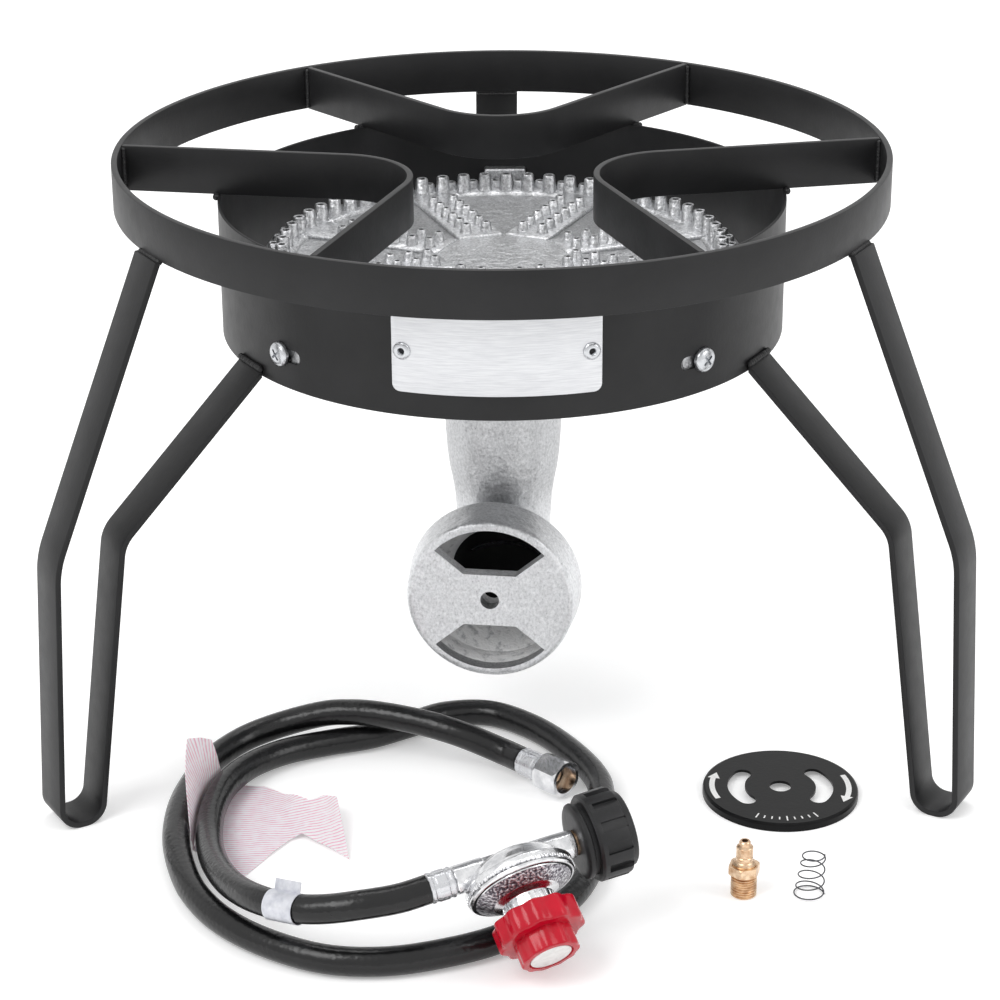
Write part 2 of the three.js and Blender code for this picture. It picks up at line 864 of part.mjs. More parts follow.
function regulatorBody() {
  const { radius, depth, joint, flange, shoulder, well, lineDepth, valveHole } = housing;
  const floor = membrane.seat + membrane.thickness + clearance;
  const recess = membrane.radius + clearance;
  const wellRadius = recess / 2;
  let body = solid(
    turnedT([
      [0, -depth],
      [radius * 0.46, -depth],
      [radius * 0.7, -depth + 2],
      [radius * 0.86, -shoulder],
      [radius * 0.93, -flange - 1.2],
      [radius, -flange],
      [radius, -joint],
      [recess, -joint],
      [recess, -floor],
      [recess - 2, -floor - 2],
      [wellRadius, -well],
      [0, -well],
    ]),
  );
  const outlet = lineRod(housing.outletBoss / 2, 0, housing.outletReach).rotateZ(Math.PI);
  const inletArm = lineRod(housing.inletBoss / 2, 0, housing.inletReach);
  const bosses = solid(alongLine(outlet)).add(solid(alongLine(inletArm)));
  const room = turnedT([
    [0, -well],
    [wellRadius, -well],
    [recess - 2, -floor - 2],
    [recess, -floor],
    [recess, 0],
    [0, 0],
  ]);
  body = body.add(bosses.subtract(solid(room)));
  const long = housing.inletReach + 1;
  body = body.subtract(solid(alongLine(lineRod(housing.lineBore / 2, -long, long))));
  const top = joint - well + 1;
  const valve = [[0, -lineDepth], [valveHole / 2, -lineDepth], [valveHole / 2, top], [0, top]];
  return body.subtract(solid(turnedT(valve, small)));
}

function regulatorBonnet() {
  const { joint, radius } = housing;
  const { flange, coneTop, neckRadius, neckTop, cavityRadius, cavityTop, stemHole } = bonnet;
  return turnedT(
    closed([
      [radius - 5, joint],
      [radius, joint],
      [radius, flange],
      [radius - 1.7, flange + 1],
      [neckRadius + 3, coneTop],
      [neckRadius, coneTop + 1.6],
      [neckRadius, neckTop],
      [stemHole / 2, neckTop],
      [stemHole / 2, cavityTop],
      [cavityRadius, cavityTop],
      [cavityRadius, flange + 2.4],
      [radius - 8, flange - 0.8],
    ]),
  );
}

cordPiece('regulator_body', regulatorBody(), chrome, regulatorGroup);
cordPiece('regulator_bonnet', regulatorBonnet(), chrome, regulatorGroup);

const discTop = -membrane.seat;
const discBottom = discTop - membrane.thickness;
const disc = rod(membrane.radius, discBottom, discTop).rotateX(Math.PI / 2);
cordPiece('diaphragm', disc, blackRubber, regulatorGroup);

const buttonTop = bonnet.cavityTop - clearance;
const buttonBottom = buttonTop - button.thickness;
const buttonDisc = rod(button.radius, buttonBottom, buttonTop, small).rotateX(Math.PI / 2);
cordPiece('spring_button', buttonDisc, zinc, regulatorGroup);

const loadWinding = new Winding({
  bottom: loadSpring.radius + loadSpring.wire / 2,
  top: loadSpring.radius + loadSpring.wire / 2,
  height: buttonBottom - discTop - 2 * loadSpring.foot,
  curls: loadSpring.curls,
  wire: loadSpring.wire,
  closedRise: 2.2,
});
const loadCoil = tubeAlong(loadWinding, loadSpring.wire / 2, loadSpring.curls * 8, 5);
loadCoil.translate(0, 0, discTop + loadSpring.foot).rotateX(Math.PI / 2);
cordPiece('control_spring', loadCoil, springSteel, regulatorGroup);

const screwTop = knob.stemDepth;
const screwBottom = buttonTop + clearance;
const screwRod = rod(screw.radius, screwBottom, screwTop, small).rotateX(Math.PI / 2);
cordPiece('adjusting_screw', screwRod, zinc, regulatorGroup);

function adjustingKnob() {
  const grip = prism(lobed(knob.radius, knob.lobe, knob.lobes), knob.rim, knob.shoulder);
  const cap = prism(lobed(knob.capRadius, knob.lobe / 2, knob.lobes), knob.shoulder - 1, knob.top);
  const roof = knob.shoulder - knob.web;
  const stem = screw.radius + clearance;
  const hollow = turned([
    [0, knob.rim - 1],
    [knob.bore, knob.rim - 1],
    [knob.bore, roof],
    [stem, roof],
    [stem, screwTop + clearance],
    [0, screwTop + clearance],
  ]);
  const recess = rod(label.radius + clearance, knob.top - knob.recessDepth, knob.top + 1);
  const made = joined(grip, cap).subtract(solid(hollow)).subtract(solid(recess));
  return solid(geometryOf(made).rotateX(Math.PI / 2));
}

cordPiece('adjusting_knob', adjustingKnob(), redPlastic, regulatorGroup);

const labelSeat = knob.top - knob.recessDepth + clearance;
const labelDisc = rod(label.radius, labelSeat, labelSeat + label.thickness).rotateX(Math.PI / 2);
cordPiece('knob_label', labelDisc, whitePaper, regulatorGroup);

// A crimped ferrule, with its rolled grooves and its bore.
function crimpedFerrule() {
  const { length } = ferrule;
  const outer = ferrule.diameter / 2;
  const bore = ferrule.bore / 2;
  const profile = [[bore, 0], [outer - 0.8, 0], [outer, 0.8]];
  for (let i = 1; i <= ferrule.grooves; i += 1) {
    const middle = (length * i) / (ferrule.grooves + 1);
    profile.push([outer, middle - 1.2], [outer - 0.6, middle - 0.5]);
    profile.push([outer - 0.6, middle + 0.5], [outer, middle + 1.2]);
  }
  return closed([...profile, [outer, length - 0.8], [outer - 0.8, length], [bore, length]]);
}

const ferruleStart = -housing.outletReach - clearance;
const ferruleTurned = turnedX(crimpedFerrule(), small).translate(ferruleStart - ferrule.length, 0, 0);
cordPiece('hose_ferrule_regulator', ferruleTurned, chrome, line);

const nippleStart = housing.inletReach + clearance;
const collarStart = nut.start + nut.backWall + clearance;

function inletNipple() {
  const { radius, end, collar, collarThickness, bore, probe } = inlet;
  const collarEnd = collarStart + collarThickness;
  return turnedX(
    closed([
      [bore, nippleStart],
      [radius, nippleStart],
      [radius, collarStart],
      [collar, collarStart],
      [collar, collarEnd],
      [probe, collarEnd + 1],
      [probe, end - 2],
      [probe - 1.5, end],
      [bore, end],
    ]),
    small,
  );
}

cordPiece('inlet_nipple', inletNipple(), brass, line);

function tankNut() {
  const back = nut.start;
  const mouth = nut.mouth;
  const shell = turned(
    closed([
      [nut.hole / 2, back],
      [nut.flange - 1, back],
      [nut.flange, back + 1],
      [nut.flange, back + nut.flangeThickness - 0.5],
      [nut.groove, back + nut.flangeThickness],
      [nut.groove, nut.ribStart],
      [nut.nose, nut.ribEnd],
      [nut.nose - 1, nut.end],
      [mouth, nut.end],
      [mouth, back + nut.backWall],
      [nut.hole / 2, back + nut.backWall],
    ]),
    medium,
  );
  const grip = solid(prism(lobed(nut.ribRadius, nut.ribHeight, nut.ribs), nut.ribStart, nut.ribEnd));
  const hollow = solid(rod((mouth + nut.groove) / 2, nut.ribStart - 1, nut.ribEnd + 1, medium));
  return solid(geometryOf(solid(shell).add(grip.subtract(hollow))).rotateY(Math.PI / 2));
}

cordPiece('tank_nut', tankNut(), blackNylon, line);

// ---------------------------------------------------------------- hose, its flare end, label band

stand.updateMatrixWorld(true);
const hoseStart = ferruleStart - ferrule.length - clearance;
const outletEnd = line.localToWorld(new THREE.Vector3(hoseStart, 0, 0));
const outletLead = line.localToWorld(new THREE.Vector3(hoseStart - hose.diameter, 0, 0));
const rest = hose.diameter / 2 + clearance; // height of the hose's middle where it lies on the floor
const flareHeading = new THREE.Vector3(Math.cos(radians(flare.heading)), Math.sin(radians(flare.heading)), 0);
const flareEnd = new THREE.Vector3(flare.x, flare.y, flare.z);
const flareLead = flareEnd.clone().addScaledVector(flareHeading, -hose.diameter);

// The hose's route, from the regulator's outlet round the loop twice to the flare end.
const hoseRoute = [
  outletEnd,
  outletLead,
  [-73.3, -282.9, 37.5],
  [-87.8, -281, 34.7],
  [-101.1, -276, 32.1],
  [-118, -263, 28.7],
  [-133, -239, 22],
  [-144.5, -207, 15],
  [-151, -173, 10],
  [-152, -140, 8.9],
  [-147, -113, 8.8],
  [-136, -92, 8.6],
  [-119, -76, 8.1],
  [-96, -65, 7.5],
  [-73, -57],
  [-52, -44.5],
  [-33.5, -33],
  [-9.5, -32],
  [14, -49],
  [34, -78],
  [47, -111],
  [47, -140],
  [45, -165],
  [40.5, -192],
  [30, -223],
  [12, -247],
  [-8, -265],
  [-33, -276.5],
  [-60.5, -283],
  [-88, -280.5],
  [-116, -266],
  [-139, -245],
  [-154.5, -220],
  [-163.5, -193],
  [-168.6, -164],
  [-168.7, -133.5],
  [-164, -105.5],
  [-155, -81, 8],
  [-140, -63, 10],
  [-120.5, -55, 14],
  [-96.5, -55.5, 20.5],
  [-84, -58, 22.3],
  [-72.5, -62, 23.5],
  [-49, -70.5, 23],
  [-25.5, -79, 19.5],
  flareLead,
  flareEnd,
].map((point) => (point.isVector3 ? point : new THREE.Vector3(point[0], point[1], point[2] ?? rest)));
const hoseCurve = new THREE.CatmullRomCurve3(hoseRoute, false, 'centripetal');
cordPiece('gas_hose', tubeAlong(hoseCurve, hose.diameter / 2, hose.steps, hose.sides), blackRubber);

function labelBand() {
  const inner = hose.diameter / 2 + clearance;
  const ringBand = pipe(inner + band.thickness, inner, -band.length / 2, band.length / 2, small);
  const from = hoseCurve.getPointAt(band.step / hose.steps);
  const to = hoseCurve.getPointAt((band.step + 1) / hose.steps);
  const direction = to.clone().sub(from).normalize();
  const turn = new THREE.Quaternion().setFromUnitVectors(new THREE.Vector3(0, 0, 1), direction);
  const place = from.clone().add(to).divideScalar(2);
  return ringBand.applyQuaternion(turn).translate(place.x, place.y, place.z);
}

cordPiece('label_band', labelBand(), plateSilver);

const flareGroup = new THREE.Group(); // its X is the way the hose's end points
flareGroup.position.copy(flareEnd);
flareGroup.rotation.z = radians(flare.heading);
stand.add(flareGroup);
const flareStart = clearance + ferrule.length + clearance;
const flareFerrule = turnedX(crimpedFerrule(), small).translate(clearance, 0, 0);
cordPiece('hose_ferrule_flare', flareFerrule, chrome, flareGroup);

function flareNipple() {
  const [shank, bore] = [nipple.shank / 2, nipple.bore / 2];
  const seat = flareStart + swivel.wall + clearance;
  const lip = seat + nipple.lip;
  const end = lip + nipple.flare / 2 - shank;
  return turnedX(
    closed([
      [bore, flareStart],
      [shank, flareStart],
      [shank, seat],
      [nipple.flare / 2, seat],
      [nipple.flare / 2, lip],
      [shank, end],
      [bore, end],
    ]),
    small,
  );
}

cordPiece('flare_nipple', flareNipple(), brass, flareGroup);

function swivelNut() {
  const body = prism(polygon(swivel.acrossCorners / 2, 6), flareStart, flareStart + swivel.length);
  const wall = flareStart + swivel.wall;
  const bore = turned(
    [
      [0, flareStart - 1],
      [swivel.backHole / 2, flareStart - 1],
      [swivel.backHole / 2, wall],
      [swivel.bore / 2, wall],
      [swivel.bore / 2, flareStart + swivel.length + 1],
      [0, flareStart + swivel.length + 1],
    ],
    small,
  );
  return solid(geometryOf(solid(body).subtract(solid(bore))).rotateY(Math.PI / 2));
}

cordPiece('swivel_nut', swivelNut(), zinc, flareGroup);

// ---------------------------------------------------------------- paper tag

// The wing is cut to its outline, seen along X. The sheet's outline starts and ends on the wing's base.
function paperTag() {
  const { thickness, lift, wingBase, wingOutline, sheet } = tag;
  const tallest = Math.max(...wingOutline.map(([, z]) => z));
  const wall = prism(strip(bentLine(wingBase), thickness), lift, lift + tallest);
  const outline = wingOutline.map(([y, z]) => new THREE.Vector2(y, z + lift));
  const window = prism(outline, -shield.radius * 2, 0).rotateX(Math.PI / 2).rotateZ(Math.PI / 2);
  const corners = [...wingBase, ...sheet].map(([x, y]) => new THREE.Vector2(x, y));
  const flat = prism(corners, lift, lift + thickness);
  return solid(wall).intersect(solid(window)).add(solid(flat));
}

cordPiece('paper_tag', paperTag(), whitePaper);

// ---------------------------------------------------------------- loose kit on the floor

function kidney(side) {
  const shape = new THREE.Path();
  const width = shutter.slotWidth / 2;
  const half = radians(shutter.slotHalfAngle);
  const middle = side > 0 ? 0 : Math.PI;
  const end = (angle) => [shutter.slotRadius * Math.cos(angle), shutter.slotRadius * Math.sin(angle)];
  const [from, to] = [middle - half, middle + half];
  shape.absarc(0, 0, shutter.slotRadius + width, from, to, false);
  shape.absarc(...end(to), width, to, to + Math.PI, false);
  shape.absarc(0, 0, shutter.slotRadius - width, to, from, true);
  shape.absarc(...end(from), width, from + Math.PI, from + 2 * Math.PI, false);
  return shape;
}

function airShutter() {
  const top = shutter.height;
  const inner = shutter.radius - shutter.sheet;
  const rim = pipe(shutter.radius, inner, 0, top - shutter.sheet / 2, fine);
  const face = new THREE.Shape(polygon(shutter.radius, fine));
  const hole = new THREE.Path().absarc(0, 0, shutter.hole / 2, 0, 2 * Math.PI, false);
  face.holes.push(kidney(-1), kidney(1), hole);
  return joined(rim, prism(face, top - shutter.sheet, top));
}

piece('air_shutter', airShutter(), blackPaint).position.set(shutter.x, shutter.y, 0);

function orificeFitting() {
  const { threadRadius, threadHeight, threads, hex, hexHeight, neck, neckTop, tip, height, bore } = orifice;
  const profile = [[bore, 0], [threadRadius - 0.6, 0]];
  for (let i = 0; i < threads; i += 1) {
    const pitch = (threadHeight - 1) / threads;
    profile.push([threadRadius - 0.6, 0.3 + i * pitch], [threadRadius, 0.3 + (i + 0.5) * pitch]);
  }
  const shoulder = threadHeight + hexHeight;
  profile.push(
    [threadRadius - 0.6, threadHeight - 0.7],
    [threadRadius - 0.6, threadHeight + 1],
    [threadRadius - 0.6, shoulder - 1],
    [neck + 1.8, shoulder + 0.8],
    [neck, shoulder + 1.6],
    [neck, neckTop],
    [tip, neckTop + 1],
    [tip, height - 0.6],
    [tip - 0.6, height],
    [bore, height],
  );
  const flats = prism(polygon(hex / 2, 6), threadHeight, shoulder);
  const core = solid(rod(neck, threadHeight - 1, shoulder + 1, small));
  return solid(turned(closed(profile), small)).add(solid(flats).subtract(core));
}

piece('orifice_fitting', orificeFitting(), brass).position.set(orifice.x, orifice.y, 0);

const shutterWinding = new Winding(coil);
const shutterCoil = tubeAlong(shutterWinding, coil.wire / 2, coil.curls * 8, 5);
piece('shutter_spring', shutterCoil, springSteel).position.set(coil.x, coil.y, clearance / 10);
console.log(`shutter_spring least gap to itself ${leastGap(shutterWinding).toFixed(2)} mm`);
console.log(`control_spring least gap to itself ${leastGap(loadWinding).toFixed(2)} mm`);

// ---------------------------------------------------------------- origin

// The origin is on the floor, under the middle of everything but the hose and what is on it.
stand.updateMatrixWorld(true);
const bounds = new THREE.Box3();
stand.traverse((object) => {
  if (object.isMesh && !cordPieces.has(object)) bounds.expandByObject(object, true);
});
const middle = bounds.getCenter(new THREE.Vector3());
stand.position.set(-middle.x, -middle.y, -bounds.min.z);

export default stand;
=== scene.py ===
"""The looks of the propane burner stand: painted steel, cast aluminium, and the gas line beside it.

Shapes are drawn in millimetres, in the frame of the piece that they belong to, and placed in the
row frame, in metres, by that piece's matrix. Constants that are angles are in degrees, apart from
TURN. Profiles of turned bodies are (radius, height) points.
"""
import math

import bmesh
import bpy
from mathutils import Matrix, Vector, noise


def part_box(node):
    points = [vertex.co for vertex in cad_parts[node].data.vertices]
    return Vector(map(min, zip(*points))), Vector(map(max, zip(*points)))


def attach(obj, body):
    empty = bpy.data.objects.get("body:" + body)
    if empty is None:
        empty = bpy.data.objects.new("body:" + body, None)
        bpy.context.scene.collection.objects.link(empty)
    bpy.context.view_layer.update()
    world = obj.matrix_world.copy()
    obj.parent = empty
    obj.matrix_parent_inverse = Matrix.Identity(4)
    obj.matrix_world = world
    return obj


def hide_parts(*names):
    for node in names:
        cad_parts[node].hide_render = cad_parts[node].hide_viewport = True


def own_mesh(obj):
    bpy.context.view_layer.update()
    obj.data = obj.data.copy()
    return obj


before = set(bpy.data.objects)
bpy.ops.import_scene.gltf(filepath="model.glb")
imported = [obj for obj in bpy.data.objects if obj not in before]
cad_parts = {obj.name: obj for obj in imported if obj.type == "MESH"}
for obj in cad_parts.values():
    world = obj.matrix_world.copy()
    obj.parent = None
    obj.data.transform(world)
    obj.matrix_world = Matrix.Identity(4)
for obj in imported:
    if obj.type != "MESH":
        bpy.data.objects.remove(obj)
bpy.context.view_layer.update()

TURN = math.tau  # radians

# ---- places

MM = Matrix.Scale(0.001, 4)
UNMOVED = Matrix.Identity(4)


def about(axis, angle):
    return Matrix.Rotation(math.radians(angle), 4, axis)


def shift(x, y, z):
    return Matrix.Translation((x, y, z))


def middle_of(node):
    low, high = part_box(node)
    return (Vector(low) + Vector(high)) / 2


axis_point = middle_of("top_ring")
STAND = shift(axis_point.x, axis_point.y, 0) @ MM
BURNER_YAW = -4
TUBE_YAW = -4.5  # on top of the burner's
BURNER = STAND @ about("Z", BURNER_YAW)
TUBE = BURNER @ about("Z", TUBE_YAW)
REGULATOR_PLACE = (3.4, -269.8, 39.7)
REGULATOR_HEADING = 19.3
REGULATOR_DIP = -7.7
REGULATOR_ROLL = 34.5
REGULATOR = STAND @ shift(*REGULATOR_PLACE) @ about("Z", REGULATOR_HEADING)
REGULATOR = REGULATOR @ about("Y", REGULATOR_DIP) @ about("X", REGULATOR_ROLL)
KNOB = REGULATOR @ about("X", 90)  # its Z runs out of the housing through the knob
LINE_BEHIND = 12  # the gas line's axis behind the housing's joint
GAS_LINE = REGULATOR @ shift(0, LINE_BEHIND, 0) @ about("Y", 90)  # its Z runs to the hand nut
FLARE_PLACE = (8, -95, 11.5)
FLARE_HEADING = -45
FLARE = STAND @ shift(*FLARE_PLACE) @ about("Z", FLARE_HEADING) @ about("Y", 90)


def around(angle, height=0.0, base=STAND):
    """A frame on the stand's axis whose X points outwards at an angle."""
    return base @ about("Z", angle) @ shift(0, 0, height)


def polar(radius, angle):
    return radius * math.cos(math.radians(angle)), radius * math.sin(math.radians(angle))


def linked(name, data):
    """A new object on its data, in the scene."""
    made = bpy.data.objects.new(name, data)
    bpy.context.scene.collection.objects.link(made)
    return made


# ---- camera

CAMERA_PLACE = STAND @ Vector((-20.2, -1444.6, 736.0))
CAMERA_HEADING = 89.28
CAMERA_PITCH = -23.087
CAMERA_ROLL = -0.362
CAMERA_LENS = 104.36
SENSOR = 36
NEAREST_SEEN = 0.01
FARTHEST_SEEN = 50


def make_camera():
    heading, pitch, roll = (math.radians(v) for v in (CAMERA_HEADING, CAMERA_PITCH, CAMERA_ROLL))
    level_share = math.cos(pitch)
    ahead = Vector((level_share * math.cos(heading), level_share * math.sin(heading), math.sin(pitch)))
    level = Vector((math.sin(heading), -math.cos(heading), 0))
    upright = level.cross(ahead)
    right = level * math.cos(roll) + upright * math.sin(roll)
    up = upright * math.cos(roll) - level * math.sin(roll)
    data = bpy.data.cameras.new("photo_camera")
    data.lens = CAMERA_LENS
    data.sensor_width = SENSOR
    data.sensor_fit = "HORIZONTAL"
    data.clip_start = NEAREST_SEEN
    data.clip_end = FARTHEST_SEEN
    camera = linked("photo_camera", data)
    turn = Matrix((right, up, -ahead)).transposed().to_4x4()
    camera.matrix_world = Matrix.Translation(CAMERA_PLACE) @ turn
    bpy.context.scene.camera = camera


make_camera()

# ---- finishes


def tone(hex_code):
    """An sRGB hex colour as linear RGBA."""
    channels = [int(hex_code[i : i + 2], 16) / 255 for i in (1, 3, 5)]
    linear = [c / 12.92 if c <= 0.04045 else ((c + 0.055) / 1.055) ** 2.4 for c in channels]
    return (*linear, 1.0)


def add_node(tree, kind, links=None, settings=None, **values):
    """Adds a node, with values on its sockets, settings on itself, and links into it."""
    made = tree.nodes.new(kind)
    for key, value in (settings or {}).items():
        setattr(made, key, value)
    for key, value in values.items():
        made.inputs[key.replace("_", " ")].default_value = value
    for key, source in (links or {}).items():
        tree.links.new(source, made.inputs[key])
    return made


class Finish:
    """A procedural material on Object coordinates, in metres."""

    def __init__(self, name, colour, roughness, metallic=0.0, **sockets):
        self.material = bpy.data.materials.new(name)
        self.material.use_nodes = True
        self.tree = self.material.node_tree
        self.shader = self.tree.nodes["Principled BSDF"]
        sockets.update(Base_Color=tone(colour), Roughness=roughness, Metallic=metallic)
        for key, value in sockets.items():
            self.shader.inputs[key.replace("_", " ")].default_value = value
        self.place = self.node("ShaderNodeTexCoord").outputs["Object"]
        self.material.diffuse_color = tone(colour)

    def node(self, kind, links=None, settings=None, **values):
        return add_node(self.tree, kind, links, settings, **values)

    def feed(self, source, socket):
        self.tree.links.new(source, self.shader.inputs[socket])

    def stretched(self, scale):
        return self.node("ShaderNodeMapping", {"Vector": self.place}, Scale=scale).outputs["Vector"]

    def noise(self, size_mm, detail=3.0, roughness=0.55, stretch=None):
        """Noise whose grains are about size_mm across."""
        links = {"Vector": self.stretched(stretch) if stretch else self.place}
        scale = 1000 / size_mm
        made = self.node("ShaderNodeTexNoise", links, Scale=scale, Detail=detail, Roughness=roughness)
        return made.outputs["Fac"]

    def cells(self, scale):
        made = self.node("ShaderNodeTexVoronoi", {"Vector": self.place}, Scale=scale)
        return made.outputs["Distance"]

    def ramp(self, source, stops):
        made = self.node("ShaderNodeValToRGB", {"Fac": source})
        ramp = made.color_ramp
        while len(ramp.elements) < len(stops):
            ramp.elements.new(0.5)
        for element, (position, colour) in zip(ramp.elements, stops):
            element.position = position
            element.color = tone(colour)
        return made.outputs["Color"]

    def colours(self, source, *stops):
        self.feed(self.ramp(source, stops), "Base Color")

    def sheen_of(self, source, low, high):
        """Roughness that swings between low and high with a pattern."""
        made = self.node("ShaderNodeMapRange", {"Value": source}, To_Min=low, To_Max=high)
        self.feed(made.outputs["Result"], "Roughness")

    def dulled_and_shaded_by_height(self, colour, low, high):
        """The colour, scaled from one share to another between two (height in metres, share) pairs: duller
        sunk panels on the burner head, painted shade on the mixer's neck.
        """
        height = self.node("ShaderNodeSeparateXYZ", {"Vector": self.place}).outputs["Z"]
        limits = {"From_Min": low[0], "To_Min": low[1], "From_Max": high[0], "To_Max": high[1]}
        share = self.node("ShaderNodeMapRange", {"Value": height}, **limits).outputs["Result"]
        scaled = self.node("ShaderNodeVectorMath", {0: colour, "Scale": share}, {"operation": "SCALE"})
        self.feed(scaled.outputs["Vector"], "Base Color")

    def relief(self, *layers):
        """Bumps from (pattern, depth in millimetres) pairs, one on another."""
        links = {}
        for source, depth in layers:
            links["Height"] = source
            bump = self.node("ShaderNodeBump", links, Strength=1.0, Distance=depth / 1000)
            links["Normal"] = bump.outputs["Normal"]
        self.feed(links["Normal"], "Normal")


TINT_STOPS = (0.3, 0.7)


def noise_finish(*basics, tints=None, sheen=None, relief=(), **sockets):
    """A finish whose patterns are all plain noise. The basics are name, colour, roughness and metallic.

    tints is a grain and two colours, or a grain and stops. sheen is a grain and two roughnesses.
    relief is pairs of a grain and a depth. A grain is what Finish.noise takes.
    """
    made = Finish(*basics, **sockets)
    if tints:
        grain, *stops = tints
        stops = zip(TINT_STOPS, stops) if isinstance(stops[0], str) else stops
        made.colours(made.noise(*grain), *stops)
    if sheen:
        grain, low, high = sheen
        made.sheen_of(made.noise(*grain), low, high)
    if relief:
        made.relief(*((made.noise(*grain), depth) for grain, depth in relief))
    return made.material


def cast_aluminium():
    """Sand-cast aluminium alloy: bright and grainy, pitted by the sand, duller in the sunk panels."""
    made = Finish("cast_aluminium", "#cfd0d2", 0.34, 0.95)
    grain = made.noise(1.3, 5, 0.7)
    skin = made.ramp(grain, [(0.25, "#6b6c6f"), (0.4, "#b3b4b6"), (0.58, "#dadbdd"), (0.78, "#f6f6f7")])
    made.dulled_and_shaded_by_height(skin, (0.2588, 0.72), (0.26, 1.0))
    made.sheen_of(made.noise(3.5, 4), 0.2, 0.46)
    made.relief((made.noise(6, 3), 0.9), (grain, 0.3), (made.cells(420.0), 0.12))
    return made.material


def wiped_cast_aluminium():
    """The mixer tube: the same metal, wiped along its length, with dark sand marks, and painted shadow on the
    neck, darker upwards where the shield's shadow falls.
    """
    made = Finish("wiped_cast_aluminium", "#d8d9db", 0.34, 0.92)
    streaks = made.noise(1.3, 5, 0.7, (1, 1, 0.75))
    skin = made.ramp(streaks, [(0.24, "#7c7d80"), (0.38, "#c9cacc"), (0.6, "#e6e7e9"), (0.8, "#fcfcfc")])
    # Painted shadow: the neck's colour falls to seven tenths from 112 to 134 mm up, where the shield's shadow
    # lies on it.
    made.dulled_and_shaded_by_height(skin, (0.112, 1.0), (0.134, 0.7))
    made.sheen_of(made.noise(4, 4), 0.28, 0.5)
    made.relief((made.noise(13, 3), 1.4), (made.noise(3, 4), 0.35), (streaks, 0.06))
    return made.material


def hose_rubber():
    """Extruded black rubber over braid: smooth, with a soft gloss and the braid's faint print."""
    made = Finish("extruded_hose_rubber", "#0d0d0e", 0.26, Specular_IOR_Level=0.42)
    made.colours(made.noise(12, 4), (0.3, "#0b0b0c"), (0.7, "#121213"))
    made.sheen_of(made.noise(4, 3), 0.18, 0.32)
    made.relief((made.cells(380.0), 0.12), (made.noise(2.5, 3), 0.05))
    return made.material


def tag_paper():
    """Thin coated paper, white with plain rose rules, creased where it was folded."""
    made = Finish("coated_tag_paper", "#efe6ea", 0.7, Subsurface_Weight=0.1)
    links = {"Vector": made.stretched((0.25, 1, 0.5))}
    wave = {"Scale": 150.0, "Distortion": 1.6, "Detail": 2.0, "Detail_Scale": 0.6}
    rules = made.node("ShaderNodeTexWave", links, {"bands_direction": "Y"}, **wave).outputs["Fac"]
    links = {0: rules, 1: made.noise(5, 4, 0.7)}
    worn = made.node("ShaderNodeMath", links, {"operation": "ADD"}).outputs["Value"]
    made.colours(worn, (0.45, "#eba9c0"), (0.75, "#f2d9e2"), (1.0, "#f7f2f5"))
    made.relief((made.noise(9, 3), 0.5), (made.noise(0.7, 2), 0.02))
    return made.material


CAST = cast_aluminium()
TUBE_CAST = wiped_cast_aluminium()
RUBBER = hose_rubber()
PAPER = tag_paper()
# The inside of the bell's mouth: cast metal painted near white and almost without metal sheen, painted light
# that stands in for its bright reflection, as it is lit only through the air openings.
PATCHES = (5, 5, 0.65)
MOUTH = noise_finish(
    "painted_light_cast_mouth", "#f2f2f2", 0.3, 0.1,
    tints=(PATCHES, (0.33, "#c4c5c7"), (0.47, "#fbfbfb"), (0.7, "#ffffff")),
    relief=((PATCHES, 1.2), ((1.2, 4), 0.2)),
)
# The cone round the regulator's neck, cast with a close raised grain that holds dark plating.
STIPPLES = (1.3, 2, 0.5)
STIPPLE = noise_finish(
    "stippled_die_casting", "#a9a9ad", 0.3, 0.95,
    tints=(STIPPLES, (0.38, "#4b474f"), (0.5, "#8d8a91"), (0.62, "#dcdcdf")),
    relief=((STIPPLES, 0.5),),
)
# A thin rolled aluminium plate, brushed along its length.
BRUSHED = (0.6, 4, 0.6, (0.05, 0.05, 1))
PLATE = noise_finish(
    "brushed_aluminium_plate", "#d6d7d9", 0.4, 0.85,
    tints=(BRUSHED, "#c9cacd", "#dfe0e2"),
    sheen=(BRUSHED, 0.36, 0.5),
    relief=((BRUSHED, 0.008),),
)
# Free-cutting brass with the fine rings of the lathe.
LATHE_RINGS = (0.5, 2, 0.5, (0.02, 0.02, 1))
BRASS = noise_finish(
    "turned_brass", "#cfa98a", 0.26, 1.0,
    tints=((3, 3), "#bd9674", "#efd5b6"),
    sheen=(LATHE_RINGS, 0.2, 0.36),
    relief=((LATHE_RINGS, 0.02),),
)
# Stove paint on flat bar: satin, with the faint orange peel of a sprayed coat.
PAINT = noise_finish(
    "baked_black_paint", "#1f1f20", 0.44, Specular_IOR_Level=0.28,
    tints=((38, 4), "#1b1b1c", "#232324"),
    sheen=((9, 3), 0.38, 0.52),
    relief=(((2.2, 2), 0.05), ((0.9, 2), 0.02)),
)
# The harder, glossier black of the shutter disc.
ENAMEL = noise_finish(
    "gloss_black_enamel", "#0a0a0b", 0.3, Specular_IOR_Level=0.16,
    tints=((20, 3), "#080809", "#0d0d0e"),
    sheen=((7, 3), 0.26, 0.36),
    relief=(((1.8, 2), 0.04),),
)
# The paint over a weld bead.
WELD = noise_finish("painted_weld", "#212122", 0.38, Specular_IOR_Level=0.3, relief=(((1.6, 3), 0.35),))
# Painted shade: a near-black colour for the inside of the jets' ports and the mixer's throat, where shade
# falls.
BORE = noise_finish("painted_shade_bore", "#1a1a1b", 0.8, 0.3, relief=(((1.5, 4), 0.2),))
# Zinc-plated steel: cool and fine-grained, with a soft gloss.
ZINC = noise_finish(
    "zinc_plate", "#c6c8cb", 0.28, 1.0, sheen=((1.2, 3), 0.2, 0.38), relief=(((0.8, 2), 0.015),)
)
# Painted shade: a dark colour for the bottom of a rivet's hole or a groove.
RECESS = noise_finish("painted_shade_recess", "#2a2b2d", 0.55, 0.8, relief=(((0.6, 2), 0.03),))
